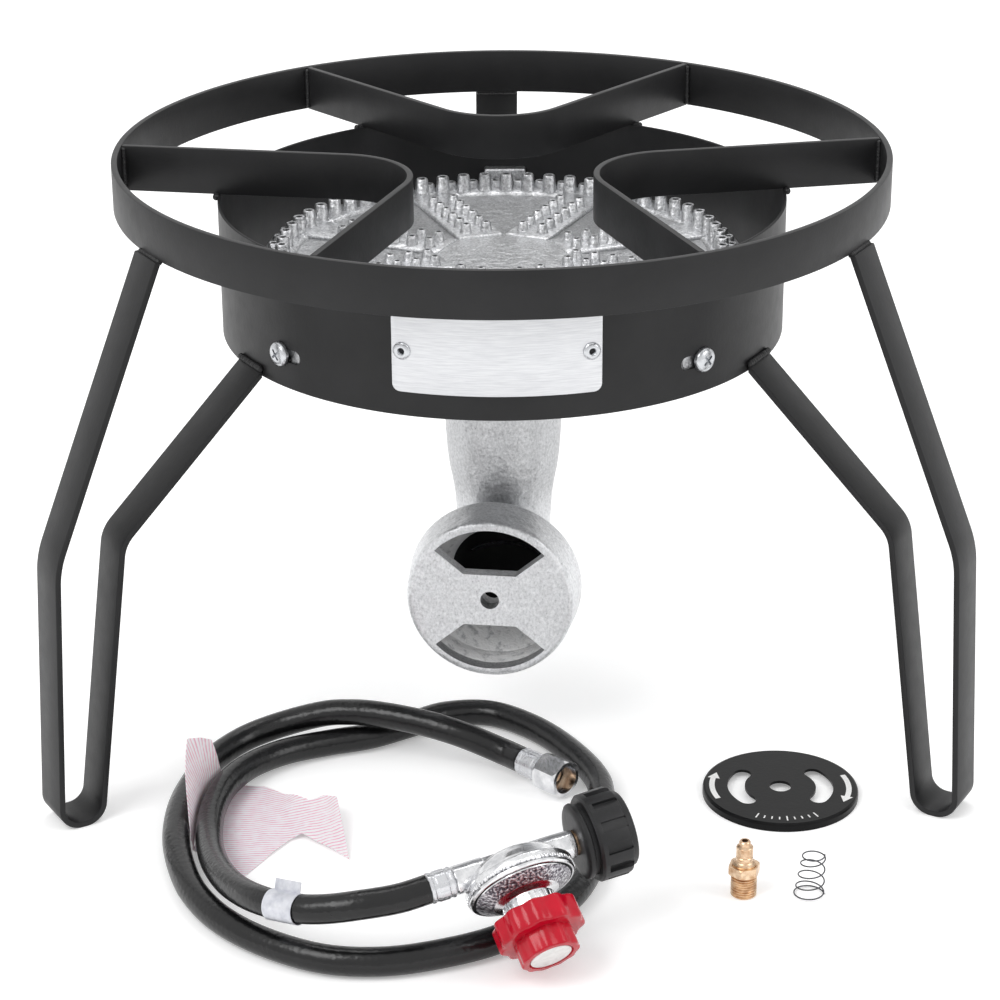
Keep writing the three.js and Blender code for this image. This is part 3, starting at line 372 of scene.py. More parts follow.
# Nickel-plated zinc die casting: bright, a little uneven from the die.
NICKEL = noise_finish(
    "nickel_die_casting", "#dcdddf", 0.18, 1.0,
    tints=((6, 4), "#c6c7ca", "#f2f2f3"),
    sheen=((4, 4), 0.1, 0.28),
    relief=(((3.2, 3), 0.12), ((0.7, 3), 0.015)),
)
# Plated steel sleeve, scored by the crimping jaws.
SLEEVE = noise_finish(
    "crimped_sleeve", "#cfd0d3", 0.24, 1.0, sheen=((2, 4), 0.16, 0.4), relief=(((1.5, 3), 0.06),)
)
# Hard-drawn steel wire, dark from its heat treatment.
WIRE = noise_finish("hard_drawn_wire", "#4c4d51", 0.3, 1.0, sheen=((1, 3), 0.22, 0.42))
# Glass-filled black nylon, moulded with a fine grain.
NYLON = noise_finish(
    "moulded_black_nylon", "#151516", 0.44, Specular_IOR_Level=0.36,
    tints=((7, 4), "#111112", "#1b1b1d"),
    sheen=((3, 3), 0.36, 0.54),
    relief=(((0.8, 3), 0.04),),
)
# Gloss-moulded red plastic.
RED = noise_finish(
    "gloss_red_plastic", "#b3001f", 0.22, Specular_IOR_Level=0.22, Coat_Weight=0.25, Coat_Roughness=0.12,
    tints=((14, 3), "#a8001b", "#be0324"),
    sheen=((5, 3), 0.16, 0.26),
    relief=(((3, 2), 0.03),),
)
# White label stock.
LABEL = noise_finish(
    "white_label_film", "#e6e6e4", 0.4, tints=((3, 3), "#dcdcda", "#eeeeec"), relief=(((1.5, 2), 0.02),)
)
# A metallised label wound round the hose.
FILM = noise_finish(
    "silver_label_film", "#c9cbd2", 0.34, 0.5,
    tints=((5, 3), "#b9bbc4", "#dcdde2"),
    relief=(((2.2, 3), 0.08),),
)
# Screen-printed white marks on the painted disc.
INK = noise_finish("white_screen_ink", "#e9e9e9", 0.5, tints=((1.2, 3), "#dededd", "#f0f0ef"))

# ---- making and placing


def wire(points, closed=False):
    bm = bmesh.new()
    verts = [bm.verts.new(p) for p in points]
    for pair in zip(verts, verts[1:]):
        bm.edges.new(pair)
    if closed:
        bm.edges.new((verts[-1], verts[0]))
    return bm


def outward_faces(bm):
    bmesh.ops.recalc_face_normals(bm, faces=bm.faces)
    return bm


def spun(profile, closed=False, steps=96):
    """A turned body about Z, from [radius, height] points."""
    bm = wire([(radius, 0, height) for radius, height in profile], closed)
    line = bm.verts[:] + bm.edges[:]
    bmesh.ops.spin(bm, geom=line, cent=(0, 0, 0), axis=(0, 0, 1), angle=TURN, steps=steps, use_merge=True)
    bmesh.ops.remove_doubles(bm, verts=bm.verts, dist=1e-4)
    bmesh.ops.dissolve_degenerate(bm, dist=1e-5, edges=bm.edges)
    return outward_faces(bm)


def rod(radius, low, high, steps=64):
    return spun([(0, low), (radius, low), (radius, high), (0, high)], steps=steps)


def pipe(inner, outer, low, high, steps):
    return spun([(inner, low), (outer, low), (outer, high), (inner, high)], closed=True, steps=steps)


def soften(bm, width, segments=2, sharper_than=35):
    """Breaks the sharp edges."""
    limit = math.radians(sharper_than)
    edges = [edge for edge in bm.edges if len(edge.link_faces) == 2 and edge.calc_face_angle(0) > limit]
    bmesh.ops.bevel(
        bm, geom=edges, offset=width, offset_type="OFFSET", segments=segments, profile=0.5,
        affect="EDGES", material=-1, clamp_overlap=True,
    )
    return bm


def pushed(bm, face, step):
    """What comes of pushing a face out by a step."""
    made = bmesh.ops.extrude_face_region(bm, geom=[face])["geom"]
    verts = [part for part in made if isinstance(part, bmesh.types.BMVert)]
    bmesh.ops.translate(bm, vec=step, verts=verts)
    return made


def slab(outline, low, high):
    """A plate on an outline of (x, y) points."""
    bm = bmesh.new()
    face = bm.faces.new([bm.verts.new((x, y, low)) for x, y in outline])
    pushed(bm, face, (0, 0, high - low))
    return outward_faces(bm)


def arc(radius, start, end, steps=24, centre=(0, 0)):
    """Points from one angle to another on a circle."""
    points = []
    for k in range(steps + 1):
        x, y = polar(radius, start + (end - start) * k / steps)
        points.append((centre[0] + x, centre[1] + y))
    return points


def hexagon(across_corners, turn=0):
    return arc(across_corners / 2, turn, turn + 300, 5)


def brick(size, centre=(0, 0, 0)):
    bm = bmesh.new()
    bmesh.ops.create_cube(bm, size=1)
    bmesh.ops.scale(bm, vec=size, verts=bm.verts)
    bmesh.ops.translate(bm, vec=centre, verts=bm.verts)
    return bm


def onward(bm, end, made):
    """The new end of a bar that was drawn on from its old end, whose inner wall is taken out."""
    face = [part for part in made if isinstance(part, bmesh.types.BMFace)][0]
    if end.is_valid and all(len(edge.link_faces) > 2 for edge in end.edges):
        bmesh.ops.delete(bm, geom=[end], context="FACES_ONLY")
    return face


def bent_bar(side, rise, path):
    """A flat bar on a path of (corner, bend radius, bend steps), from half its width and thickness.

    The path's two ends have no bend. The bar comes with the face at its far end.
    """
    bm = bmesh.new()
    here = path[0][0]
    corners = [here + a * side + b * rise for a, b in ((-1, -1), (1, -1), (1, 1), (-1, 1))]
    end = bm.faces.new([bm.verts.new(corner) for corner in corners])
    for before, (corner, radius, steps), after in zip(path, path[1:], path[2:]):
        back, ahead = ((neighbour[0] - corner).normalized() for neighbour in (before, after))
        half = back.angle(ahead) / 2
        end = onward(bm, end, pushed(bm, end, corner + back * (radius / math.tan(half)) - here))
        centre = corner + (back + ahead).normalized() * (radius / math.sin(half))
        axis = (corner - before[0]).cross(ahead).normalized()
        geometry = [end, *end.edges, *end.verts]
        swing = math.pi - 2 * half
        spin = bmesh.ops.spin(bm, geom=geometry, cent=centre, axis=axis, angle=swing, steps=steps)
        end = onward(bm, end, spin["geom_last"])
        here = corner + ahead * (radius / math.tan(half))
    end = onward(bm, end, pushed(bm, end, path[-1][0] - here))
    return outward_faces(bm), end


def merged(*meshes):
    """Several bmeshes as one, each kept as its own island."""
    whole = bmesh.new()
    for bm in meshes:
        data = bpy.data.meshes.new("part")
        bm.to_mesh(data)
        whole.from_mesh(data)
        bpy.data.meshes.remove(data)
        bm.free()
    return whole


def moved(bm, matrix):
    bmesh.ops.transform(bm, matrix=matrix, verts=bm.verts)
    return bm


def spread(bm, steps, count):
    """Copies of a shape about Z, at each of the steps, of which count make a full turn."""
    return [moved(bm.copy(), Matrix.Rotation(TURN * step / count, 4, "Z")) for step in steps]


def fitted(piece, body, replaces):
    """A piece that rides on a body, in the place of a solid, or of none."""
    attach(piece, body)
    if replaces:
        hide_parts(replaces)
    return piece


def finished(name, bm, place, finishes, body="stand", replaces=None, sharp=40):
    """A bmesh in millimetres as a piece in the row frame."""
    moved(bm, place)
    data = bpy.data.meshes.new(name)
    bm.to_mesh(data)
    bm.free()
    finishes = finishes if isinstance(finishes, list) else [finishes]
    for material in finishes:
        data.materials.append(material)
    data.shade_smooth()
    data.set_sharp_from_angle(angle=math.radians(sharp))
    return fitted(linked(name, data), body, replaces)


def finished_line(name, points, thickness, resolution, material, replaces):
    """A round cord or wire on the stand, through points of the row frame. Its thickness is in millimetres."""
    data = bpy.data.curves.new(name, "CURVE")
    data.dimensions = "3D"
    data.bevel_depth = thickness / 2 * 0.001
    data.bevel_resolution = resolution
    data.use_fill_caps = True
    spline = data.splines.new("POLY")
    spline.points.add(len(points) - 1)
    for point, place in zip(spline.points, points):
        point.co = (*place, 1)
    spline.use_smooth = True
    data.materials.append(material)
    return fitted(linked(name, data), "stand", replaces)


def temporary(bm):
    data = bpy.data.meshes.new("working_mesh")
    bm.to_mesh(data)
    bm.free()
    return linked("working_piece", data)


def reshaped(target, steps):
    """The mesh of a working piece after its modifiers, as a bmesh."""
    for kind, settings in steps:
        modifier = target.modifiers.new(kind.lower(), kind)
        for key, value in settings.items():
            setattr(modifier, key, value)
    evaluated = target.evaluated_get(bpy.context.evaluated_depsgraph_get())
    bm = bmesh.new()
    bm.from_mesh(evaluated.to_mesh())
    evaluated.to_mesh_clear()
    return bm


def carved(bm, operation, *tools):
    """A solid joined with, or cut by, others."""
    target = temporary(bm)
    helpers = [temporary(tool) for tool in tools]
    settings = {"operation": operation, "solver": "EXACT"}
    made = reshaped(target, [("BOOLEAN", {**settings, "object": helper}) for helper in helpers])
    for spent in [target, *helpers]:
        bpy.data.objects.remove(spent)
    return made


def melted(bm, voxel, smoothing):
    """A casting: its parts flow together and its corners round off."""
    target = temporary(bm)
    remesh = ("REMESH", {"mode": "VOXEL", "voxel_size": voxel})
    made = reshaped(target, [remesh, ("SMOOTH", {"factor": 0.5, "iterations": smoothing})])
    bpy.data.objects.remove(target)
    return made


# ---- ring, supports, shield, legs

BAR = 3.2
BAR_HEIGHT = 24.0
GAP = 0.3  # between welded pieces
RING_RADIUS = 200.0
RING_TOP = 318.0
RING_BOTTOM = RING_TOP - BAR_HEIGHT
RING_MIDDLE = RING_TOP - BAR_HEIGHT / 2
ROUND = 180  # sides of the ring and the shield
BAR_EDGE = 0.5  # the broken edges of the flat bar
SHIELD_RADIUS = 147.0
SHIELD_SHEET = 1.5
SHIELD_BOTTOM = 224.0
STAND_SIDES = {"back": 90, "left": 210, "right": 330}


LUMP_SPACING = 0.55  # of a weld's radius
LUMP_SWELL = 0.16  # of its size


def weld_bead(length, radius):
    """A lumpy fillet weld along X."""
    count = max(4, round(length / (radius * LUMP_SPACING)))
    lumps = []
    for i in range(count):
        lump = bmesh.new()
        bmesh.ops.create_uvsphere(lump, u_segments=12, v_segments=6, radius=radius)
        bmesh.ops.scale(lump, vec=(0.8, 1, 1), verts=lump.verts)
        swell = 1 + LUMP_SWELL * noise.noise(Vector((i * 1.7, length, radius)))
        along = length * (i / (count - 1) - 0.5)
        lumps.append(moved(lump, shift(along, 0, 0) @ Matrix.Scale(swell, 4)))
    return merged(*lumps)


def make_ring():
    rim = pipe(RING_RADIUS - BAR, RING_RADIUS, RING_BOTTOM, RING_TOP, ROUND)
    finished("ring_band", soften(rim, 0.55), STAND, PAINT, replaces="top_ring")


SUPPORT_HALF_ANGLE = 40
SUPPORT_NOSE = 60.0  # the bend's nearest point to the axis
SUPPORT_BEND = 40.0
SUPPORT_REACH = 166.0  # along an arm, from where the two would meet


def make_pot_support(side, angle):
    half = math.radians(SUPPORT_HALF_ANGLE)
    meeting = Vector((SUPPORT_NOSE - SUPPORT_BEND * (1 / math.sin(half) - 1), 0, 0))
    arms = {sign: Vector((math.cos(half), sign * math.sin(half), 0)) for sign in (-1, 1)}
    across = Vector((-math.sin(half), math.cos(half), 0))
    level = Vector((0, 0, RING_MIDDLE))
    start, end = (level + meeting + arms[sign] * SUPPORT_REACH for sign in (1, -1))
    path = [(start, 0, 0), (level + meeting, SUPPORT_BEND, 28), (end, 0, 0)]
    bar, _ = bent_bar(across * (BAR / 2), Vector((0, 0, BAR_HEIGHT / 2)), path)
    place = around(angle)
    node = f"pot_support_{side}"
    finished(f"v_support_{side}", soften(bar, BAR_EDGE), place, PAINT, replaces=node)
    welds = []
    crossing = SHIELD_RADIUS + 0.8
    aligned = meeting.x * math.cos(half)
    to_shield = math.sqrt(aligned * aligned - meeting.x * meeting.x + crossing * crossing) - aligned
    for sign, arm in arms.items():
        tip = meeting + arm * (SUPPORT_REACH - 0.6)
        beside = Vector((across.x, sign * across.y, 0)) * (BAR / 2 + 0.2)
        for face in (-1, 1):
            middle = tip + level + beside * face
            welds.append(moved(weld_bead(BAR_HEIGHT - 4, 1.5), shift(*middle) @ about("Y", 90)))
        where = meeting + arm * to_shield
        heading = Matrix.Rotation(math.atan2(where.y, where.x) + math.pi / 2, 4, "Z")
        welds.append(moved(weld_bead(9, 1.7), shift(where.x, where.y, RING_BOTTOM - 0.6) @ heading))
    finished(f"support_welds_{side}", merged(*welds), place, WELD)


LUG_ANGLES = {"back": 93, "left": 225, "right": 315}
SLOT_SHIFT = {"back": 0, "left": 2, "right": -2}
SLOT_LENGTH = 18
SLOT_WIDTH = 7
SCREW_HEIGHT = 241.5


def slot_tool(length, width, depth):
    """A round-ended bar along Y, pushed through along X."""
    outline = []
    for end, start in ((1, 0), (-1, 180)):
        outline += arc(width / 2, start, start + 180, 12, (0, end * (length - width) / 2))
    return moved(slab(outline, -depth, depth), about("Y", 90))


def make_shield():
    sheet = pipe(SHIELD_RADIUS - SHIELD_SHEET, SHIELD_RADIUS, SHIELD_BOTTOM, RING_BOTTOM - GAP, ROUND)
    tools = []
    for side, angle in LUG_ANGLES.items():
        heading = about("Z", angle + BURNER_YAW + SLOT_SHIFT[side])
        place = heading @ shift(SHIELD_RADIUS, 0, SCREW_HEIGHT)
        tools.append(moved(slot_tool(SLOT_LENGTH, SLOT_WIDTH, 8), place))
    sheet = carved(soften(sheet, 0.4, 1), "DIFFERENCE", merged(*tools))
    finished("wind_shield_sheet", sheet, STAND, PAINT, replaces="wind_shield", sharp=30)


LEG_WIDTH = 24.0
LEG_PATH = [  # corner, bend radius, bend steps: from the ring to the knee, round the foot and in
    (Vector((200.5, 0, RING_BOTTOM - GAP)), 0, 0),
    (Vector((262.9, 0, 145.2)), 50.0, 10),
    (Vector((270.1, 0, BAR / 2)), 10.2, 16),
    (Vector((248.0, 0, BAR / 2)), 10.2, 16),
    (Vector((227.5, 0, 150.8)), 18.0, 10),
    (Vector((148.9, 0, 224.6)), 0, 0),
]


def make_leg(side, angle):
    """One flat bar, bent from the ring out to the knee, round the foot and back in to the shield."""
    corners = [corner for corner, _, _ in LEG_PATH]
    heading = (corners[1] - corners[0]).normalized()
    inward = (corners[-1] - corners[-2]).normalized()
    normal = heading.cross(Vector((0, 1, 0))).normalized() * (BAR / 2)
    bm, end = bent_bar(Vector((0, LEG_WIDTH / 2, 0)), normal, LEG_PATH)
    for vert in end.verts:
        vert.co += inward * ((SHIELD_RADIUS + GAP - vert.co.x) / inward.x)
    for vert in bm.verts:
        if vert.co.z > RING_BOTTOM - 4:
            vert.co += heading * ((vert.co.z - (RING_BOTTOM - GAP)) / -heading.z)
    leg, place = soften(outward_faces(bm), BAR_EDGE), around(angle)
    finished(f"bent_leg_{side}", leg, place, PAINT, replaces=f"leg_{side}")
    at_ring = shift(199.4, 0, RING_BOTTOM - 0.6) @ about("Z", 90)
    at_shield = shift(SHIELD_RADIUS + 0.9, 0, 228.4) @ about("Z", 90)
    upper, lower = weld_bead(LEG_WIDTH - 3, 1.6), weld_bead(LEG_WIDTH - 2, 1.7)
    welds = merged(moved(upper, at_ring), moved(lower, at_shield))
    finished(f"leg_welds_{side}", welds, place, WELD)


make_ring()
make_shield()
for stand_side, stand_angle in STAND_SIDES.items():
    make_pot_support(stand_side, stand_angle)
    make_leg(stand_side, stand_angle)

# ---- name plate, rivets, lug screws

PLATE_ANGLE = 268.0
PLATE_MIDDLE = 257.8
PLATE_LENGTH = 103
PLATE_HEIGHT = 42
PLATE_CORNER = 4
PLATE_STRIPS = 40
RIVET_SWING = 17.91  # to either side of the plate's middle
RECESS_HEADING = 38  # of the cross in a screw's head
RECESS_LENGTH = 6.2
RECESS_WIDTH = 1.25


def make_plate():
    """Drawn flat, X along its length, and then rolled to the shield."""
    outline = []
    for sx, sy, start in ((1, 1, 0), (-1, 1, 90), (-1, -1, 180), (1, -1, 270)):
        centre = (sx * (PLATE_LENGTH / 2 - PLATE_CORNER), sy * (PLATE_HEIGHT / 2 - PLATE_CORNER))
        outline += arc(PLATE_CORNER, start, start + 90, 8, centre)
    bm = slab(outline, 0.3, 1.1)
    for k in range(1, PLATE_STRIPS):
        line = (PLATE_LENGTH * (k / PLATE_STRIPS - 0.5), 0, 0)
        geometry = bm.verts[:] + bm.edges[:] + bm.faces[:]
        bmesh.ops.bisect_plane(bm, geom=geometry, plane_co=line, plane_no=(1, 0, 0))
    for vert in bm.verts:
        angle = math.radians(PLATE_ANGLE) + vert.co.x / (SHIELD_RADIUS + 0.7)
        radius = SHIELD_RADIUS + vert.co.z
        vert.co = Vector((radius * math.cos(angle), radius * math.sin(angle), PLATE_MIDDLE + vert.co.y))
    plate = soften(outward_faces(bm), 0.2, 2)
    finished("blank_name_plate", plate, STAND, PLATE, replaces="name_plate", sharp=30)


def make_rivet(side, angle):
    seat = SHIELD_RADIUS + 1.4
    outside = spun(
        [
            (0, seat - 0.3), (4.4, seat - 0.3), (4.4, seat + 0.25), (3.8, seat + 0.9), (2.8, seat + 1.3),
            (2.0, seat + 1.3), (1.6, seat + 0.9), (1.4, seat - 0.2), (0, seat - 0.2),
        ],
        steps=40,
    )
    tail = [(0, 142.4), (2.3, 142.4), (3.3, 143.2), (3.3, 144.8), (2.4, 145.2), (2.4, 147), (0, 147)]
    outside = soften(outside, 0.08, 1)
    # Painted shade: the faces of the pin's hole take the dark recess finish.
    for face in outside.faces:
        middle = face.calc_center_median()
        face.material_index = int(math.hypot(middle.x, middle.y) < 1.5 and middle.z > seat - 0.25)
    whole = merged(outside, spun(tail, steps=24))
    place = around(angle, PLATE_MIDDLE) @ about("Y", 90)
    node = f"plate_rivet_{side}"
    finished(f"pop_rivet_{side}", whole, place, [ZINC, RECESS], replaces=node)


def make_lug_screw(side, angle):
    seat = SHIELD_RADIUS + 0.3
    head = spun(
        [
            (0, seat), (6.2, seat), (6.2, seat + 1.3), (5.9, seat + 2.2), (5.0, seat + 3.0),
            (3.2, seat + 3.5), (0, seat + 3.65),
        ],
        steps=48,
    )
    cross = []
    for size in ((RECESS_LENGTH, RECESS_WIDTH, 4), (RECESS_WIDTH, RECESS_LENGTH, 4)):
        cross.append(moved(brick(size, (0, 0, seat + 3.9)), about("Z", RECESS_HEADING)))
    head = carved(head, "DIFFERENCE", *cross)
    threads = [(0, 135.6), (2.2, 135.6)]
    for k in range(11):
        threads += [(2.5, 136 + k), (3.0, 136.4 + k)]
    threads += [(2.6, seat + 0.1), (0, seat + 0.1)]
    bm = merged(head, spun(threads, steps=32))
    place = around(angle, SCREW_HEIGHT, BURNER) @ about("Y", 90)
    node = f"lug_screw_{side}"
    finished(f"pan_head_screw_{side}", bm, place, ZINC, replaces=node, sharp=30)


make_plate()
for rivet_side, rivet_sign in (("left", -1), ("right", 1)):
    make_rivet(rivet_side, PLATE_ANGLE + rivet_sign * RIVET_SWING)
for lug_side, lug_angle in LUG_ANGLES.items():
    make_lug_screw(lug_side, lug_angle)

# ---- burner head

HEAD_TOP = 260.2
PANEL = 258.7
HEAD_PROFILE = [
    (0, 255), (118, 255), (120, 252), (118, 249), (60, 246), (24, 244), (24, 236.15), (46, 236.15),
    (46, 240), (60, 241), (117, 243), (123, 245.2), (126.4, 249), (127, 252), (127, 257.7),
    (126.2, 259.5), (124.4, HEAD_TOP), (110.6, HEAD_TOP), (109.6, 259.9), (108.2, PANEL), (46, PANEL),
    (40, 259.0), (33, 259.9), (26, HEAD_TOP), (0, HEAD_TOP),
]
SPOKES = 8
SPOKE_SHIFT = 1.5
RIB_SIZE = (80, 25, 3.8)
RIB_MIDDLE = (71.5, 0, 258.8)
TAB_SIZE = (7.7, 23.4, 33)
BACK_TAB_ASIDE = -1.2
ARM_SIZE = (22, 21, 12)
JETS_IN_CIRCLE = 60
TALL_CIRCLE = 114.7
LOW_CIRCLE = 120.3
JETS_IN_ROW = 6
ROW_START = 39.5
ROW_STEP = 10.2
ROW_ASIDE = 5.7


def jet(wide, narrow, rise):
    """A tapered nozzle with a rounded rim, and its port in painted shade."""
    hole = narrow * 0.56
    bm = spun(
        [
            (wide * 1.14, -0.4), (wide, 0.5), (narrow + 0.15, rise - 0.6), (narrow - 0.3, rise),
            (hole + 0.1, rise), (hole, rise - 0.5),
        ],
        steps=12,
    )
    port = spun([(hole, rise - 0.35), (0, rise - 1.2)], steps=12)
    # Painted shade: the port's faces take the near-black bore finish.
    for face in port.faces:
        face.material_index = 1
    return merged(bm, port)


def jets_on_circle(radius, start, make):
    for i in range(JETS_IN_CIRCLE):
        turn = TURN * (i + start) / JETS_IN_CIRCLE
        wobble = 0.35 * noise.noise(Vector((i * 3.1, radius, 0)))
        place = Matrix.Rotation(turn, 4, "Z") @ shift(radius + wobble, wobble * 0.6, HEAD_TOP - 0.2)
        yield moved(make.copy(), place @ Matrix.Rotation(i * 2.4, 4, "Z"))


def make_burner_head():
    parts = [spun(HEAD_PROFILE, steps=144)]
    spokes = [
        Matrix.Rotation(TURN * (i + 0.5) / SPOKES + math.radians(SPOKE_SHIFT), 4, "Z") for i in range(SPOKES)
    ]
    for turn in spokes:
        parts.append(moved(soften(brick(RIB_SIZE, RIB_MIDDLE), 1.1, 3), turn))
    for side, angle in LUG_ANGLES.items():
        aside = BACK_TAB_ASIDE if side == "back" else 0
        tab = soften(brick(TAB_SIZE, (141.3, aside, 248.5)), 1.2, 3)
        arm = soften(brick(ARM_SIZE, (129.5, 0, 250)), 1.5, 3)
        parts.append(moved(merged(tab, arm), about("Z", angle)))
    tall, low, slim = jet(3.9, 3.2, 9.3), jet(3.4, 2.8, 4.1), jet(3.1, 2.4, 5.0)
    parts += jets_on_circle(TALL_CIRCLE, 0.325, tall)
    parts += jets_on_circle(LOW_CIRCLE, 0.825, low)
    for row in range(JETS_IN_ROW):
        for sign in (-1, 1):
            place = shift(ROW_START + ROW_STEP * row, ROW_ASIDE * sign, HEAD_TOP + 0.5)
            place = place @ Matrix.Rotation(row + sign, 4, "Z")
            parts += [moved(slim.copy(), turn @ place) for turn in spokes]
    head = merged(*parts)
    finishes = [CAST, BORE]
    finished("cast_burner_head", head, BURNER, finishes, replaces="burner_head", sharp=38)


make_burner_head()

# ---- mixer tube

BELL_HEIGHT = 87.0
BELL_FACE = 58.0
BELL = shift(0, 0, BELL_HEIGHT) @ about("X", 90)  # its Z runs forward, out of the bell
BELL_PROFILE = [
    (0, 58), (43.1, 58), (44.5, 56.6), (46.5, 34), (41, 27), (30.2, 20), (26, 0), (23.6, -12), (16, -21),
    (0, -26),
]
BELL_INSIDE = [(50.5, 40.5), (36, 40.5), (20, 25.5), (0, 21.6), (-10, 15.5), (-19, 0)]  # ahead, radius
SHADE_AHEAD = 20  # how far forward the painted shade reaches in the bell
NECK_PROFILE = [
    (0, 84), (24.6, 84), (25.2, 109), (26.3, 126), (27.5, 134), (29.1, 142), (30.2, 151), (31.0, 163),
    (31.2, 190), (31.0, 231), (0, 231),
]
NECK_DEPTH = 0.92  # of its width
FLANGE_RADIUS = 46
FLANGE_TOP = 235.85
FLANGE_BOTTOM = 229.85
THROAT = 20
OPENING_HALF = 14  # half of the sill's length
OPENING_SILL = 14.5
OPENING_RADIUS = 40
OPENING_TIP = math.degrees(math.atan2(27, 29))
BOLT_ASIDE = 38


def air_opening(side):
    outline = [(-OPENING_HALF, OPENING_SILL), (OPENING_HALF, OPENING_SILL)]
    outline += arc(OPENING_RADIUS, OPENING_TIP, 180 - OPENING_TIP)
    tool = moved(slab(outline, BELL_FACE - 9, BELL_FACE + 3), about("X", 90))
    if side < 0:
        tool = moved(tool, Matrix.Rotation(math.pi, 4, "Y"))
    return moved(tool, shift(0, 0, BELL_HEIGHT))


def tube_finish(place):
    """Which finish a face has: 1 is painted shade, near black, deep inside, and 2 is painted light,
    near-white metal in the bell's mouth.
    """
    # Painted shade: the throat's faces take the near-black bore finish.
    if math.hypot(place.x, place.y) < THROAT + 0.6 and place.z > 100:
        return 1
    ahead, height = -place.y, place.z - BELL_HEIGHT
    for (front, wide), (back, narrow) in zip(BELL_INSIDE, BELL_INSIDE[1:]):
        if back <= ahead < front:
            wall = narrow + (wide - narrow) * (ahead - back) / (front - back)
            if math.hypot(place.x, height) < wall + 0.5:
                return 1 if ahead < SHADE_AHEAD else 2
    return 0


def make_mixer_tube():
    neck = moved(spun(NECK_PROFILE), Matrix.Scale(NECK_DEPTH, 4, (0, 1, 0)))
    flange = rod(FLANGE_RADIUS, FLANGE_BOTTOM, FLANGE_TOP, 96)
    shell = carved(neck, "UNION", flange, moved(spun(BELL_PROFILE), BELL))
    shell = melted(shell, 0.9, 5)
    inside = moved(spun([(0, 50.5), *((radius, ahead) for ahead, radius in BELL_INSIDE)]), BELL)
    throat = rod(THROAT, BELL_HEIGHT, 240)
    holes = [moved(rod(3.3, 225, 240, 24), shift(BOLT_ASIDE * sign, 0, 0)) for sign in (-1, 1)]
    shell = carved(shell, "DIFFERENCE", inside, throat, air_opening(1), air_opening(-1), *holes)
    boss = moved(spun([(5, 43.8), (9, 44), (9.4, 51), (5, 51)], steps=48), BELL)
    shell = carved(merged(shell, boss), "DIFFERENCE", moved(rod(5, 43, 60, 40), BELL))
    for face in shell.faces:
        face.material_index = tube_finish(face.calc_center_median())
    finishes = [TUBE_CAST, BORE, MOUTH]
    finished("cast_mixer_tube", shell, TUBE, finishes, replaces="venturi_tube", sharp=42)


def make_tube_bolt(side, sign):
    head = soften(slab(hexagon(11.5), 225.6, 229.55), 0.4, 2)
    shank = spun([(0, 229.5), (3, 229.5), (3, 241), (2.4, 241.6), (0, 241.6)], steps=24)
    bolt, place = merged(head, shank), TUBE @ shift(BOLT_ASIDE * sign, 0, 0)
    finished(f"flange_bolt_{side}", bolt, place, ZINC, replaces=f"tube_bolt_{side}")


make_mixer_tube()
for bolt_side, bolt_sign in (("left", -1), ("right", 1)):
    make_tube_bolt(bolt_side, bolt_sign)

# ---- gas hose

HOSE = 14.0
HOSE_REST = 7.3  # the height of its middle where it lies on the floor
HOSE_START = -42.3  # on the gas line
outlet = GAS_LINE @ Vector((0, 0, HOSE_START))
outlet_lead = GAS_LINE @ Vector((0, 0, HOSE_START - HOSE))
flare_end = FLARE @ Vector((0, 0, 0))
flare_lead = FLARE @ Vector((0, 0, -HOSE))
HOSE_ROUTE = [
    (-73.3, -282.9, 37.5), (-87.8, -281, 34.7), (-101.1, -276, 32.1), (-118, -263, 28.7), (-133, -239, 22),
    (-144.5, -207, 15), (-151, -173, 10), (-152, -140, 8.9), (-147, -113, 8.8), (-136, -92, 8.6),
    (-119, -76, 8.1), (-96, -65, 7.5), (-73, -57), (-52, -44.5), (-33.5, -33), (-9.5, -32), (14, -49),
    (34, -78), (47, -111), (47, -140), (45, -165), (40.5, -192), (30, -223), (12, -247), (-8, -265),
    (-33, -276.5), (-60.5, -283), (-88, -280.5), (-116, -266), (-139, -245), (-154.5, -220),
    (-163.5, -193), (-168.6, -164), (-168.7, -133.5), (-164, -105.5), (-155, -81, 8), (-140, -63, 10),
    (-120.5, -55, 14), (-96.5, -55.5, 20.5), (-84, -58, 22.3), (-72.5, -62, 23.5), (-49, -70.5, 23),
    (-25.5, -79, 19.5),
]
POINTS_PER_SPAN = 9


def through_points(points, per_span):
    """A centripetal curve through points, the same as the CAD tube follows."""
    ends = [points[0] * 2 - points[1], *points, points[-1] * 2 - points[-2]]
    curve = []
    for p0, p1, p2, p3 in zip(ends, ends[1:], ends[2:], ends[3:]):
        d0, d1, d2 = (max((b - a).length, 1e-9) ** 0.5 for a, b in ((p0, p1), (p1, p2), (p2, p3)))
        m1 = (p1 - p0) / d0 - (p2 - p0) / (d0 + d1) + (p2 - p1) / d1
        m2 = (p2 - p1) / d1 - (p3 - p1) / (d1 + d2) + (p3 - p2) / d2
        m1, m2 = m1 * d1, m2 * d1
        for k in range(per_span):
            t = k / per_span
            near = p1 * (2 * t**3 - 3 * t**2 + 1) + m1 * (t**3 - 2 * t**2 + t)
            curve.append(near + p2 * (-2 * t**3 + 3 * t**2) + m2 * (t**3 - t**2))
    return [*curve, points[-1]]


route = [STAND @ Vector((*p[:2], p[2] if len(p) > 2 else HOSE_REST)) for p in HOSE_ROUTE]
hose_line = through_points([outlet, outlet_lead, *route, flare_lead, flare_end], POINTS_PER_SPAN)
hose_length = sum((b - a).length for a, b in zip(hose_line, hose_line[1:]))
gas_hose = finished_line("black_gas_hose", hose_line, HOSE, 7, RUBBER, "gas_hose")

# ---- regulator

TEETH = 64
FLUTES = 26
GRIP_LOBES = 11
NUT_SLOTS = 12
SWIVEL_START = 15.6  # the swivel nut's hose end, from the flare's frame
SWIVEL_LENGTH = 15.4
SWIVEL_CORNERS = 21.5


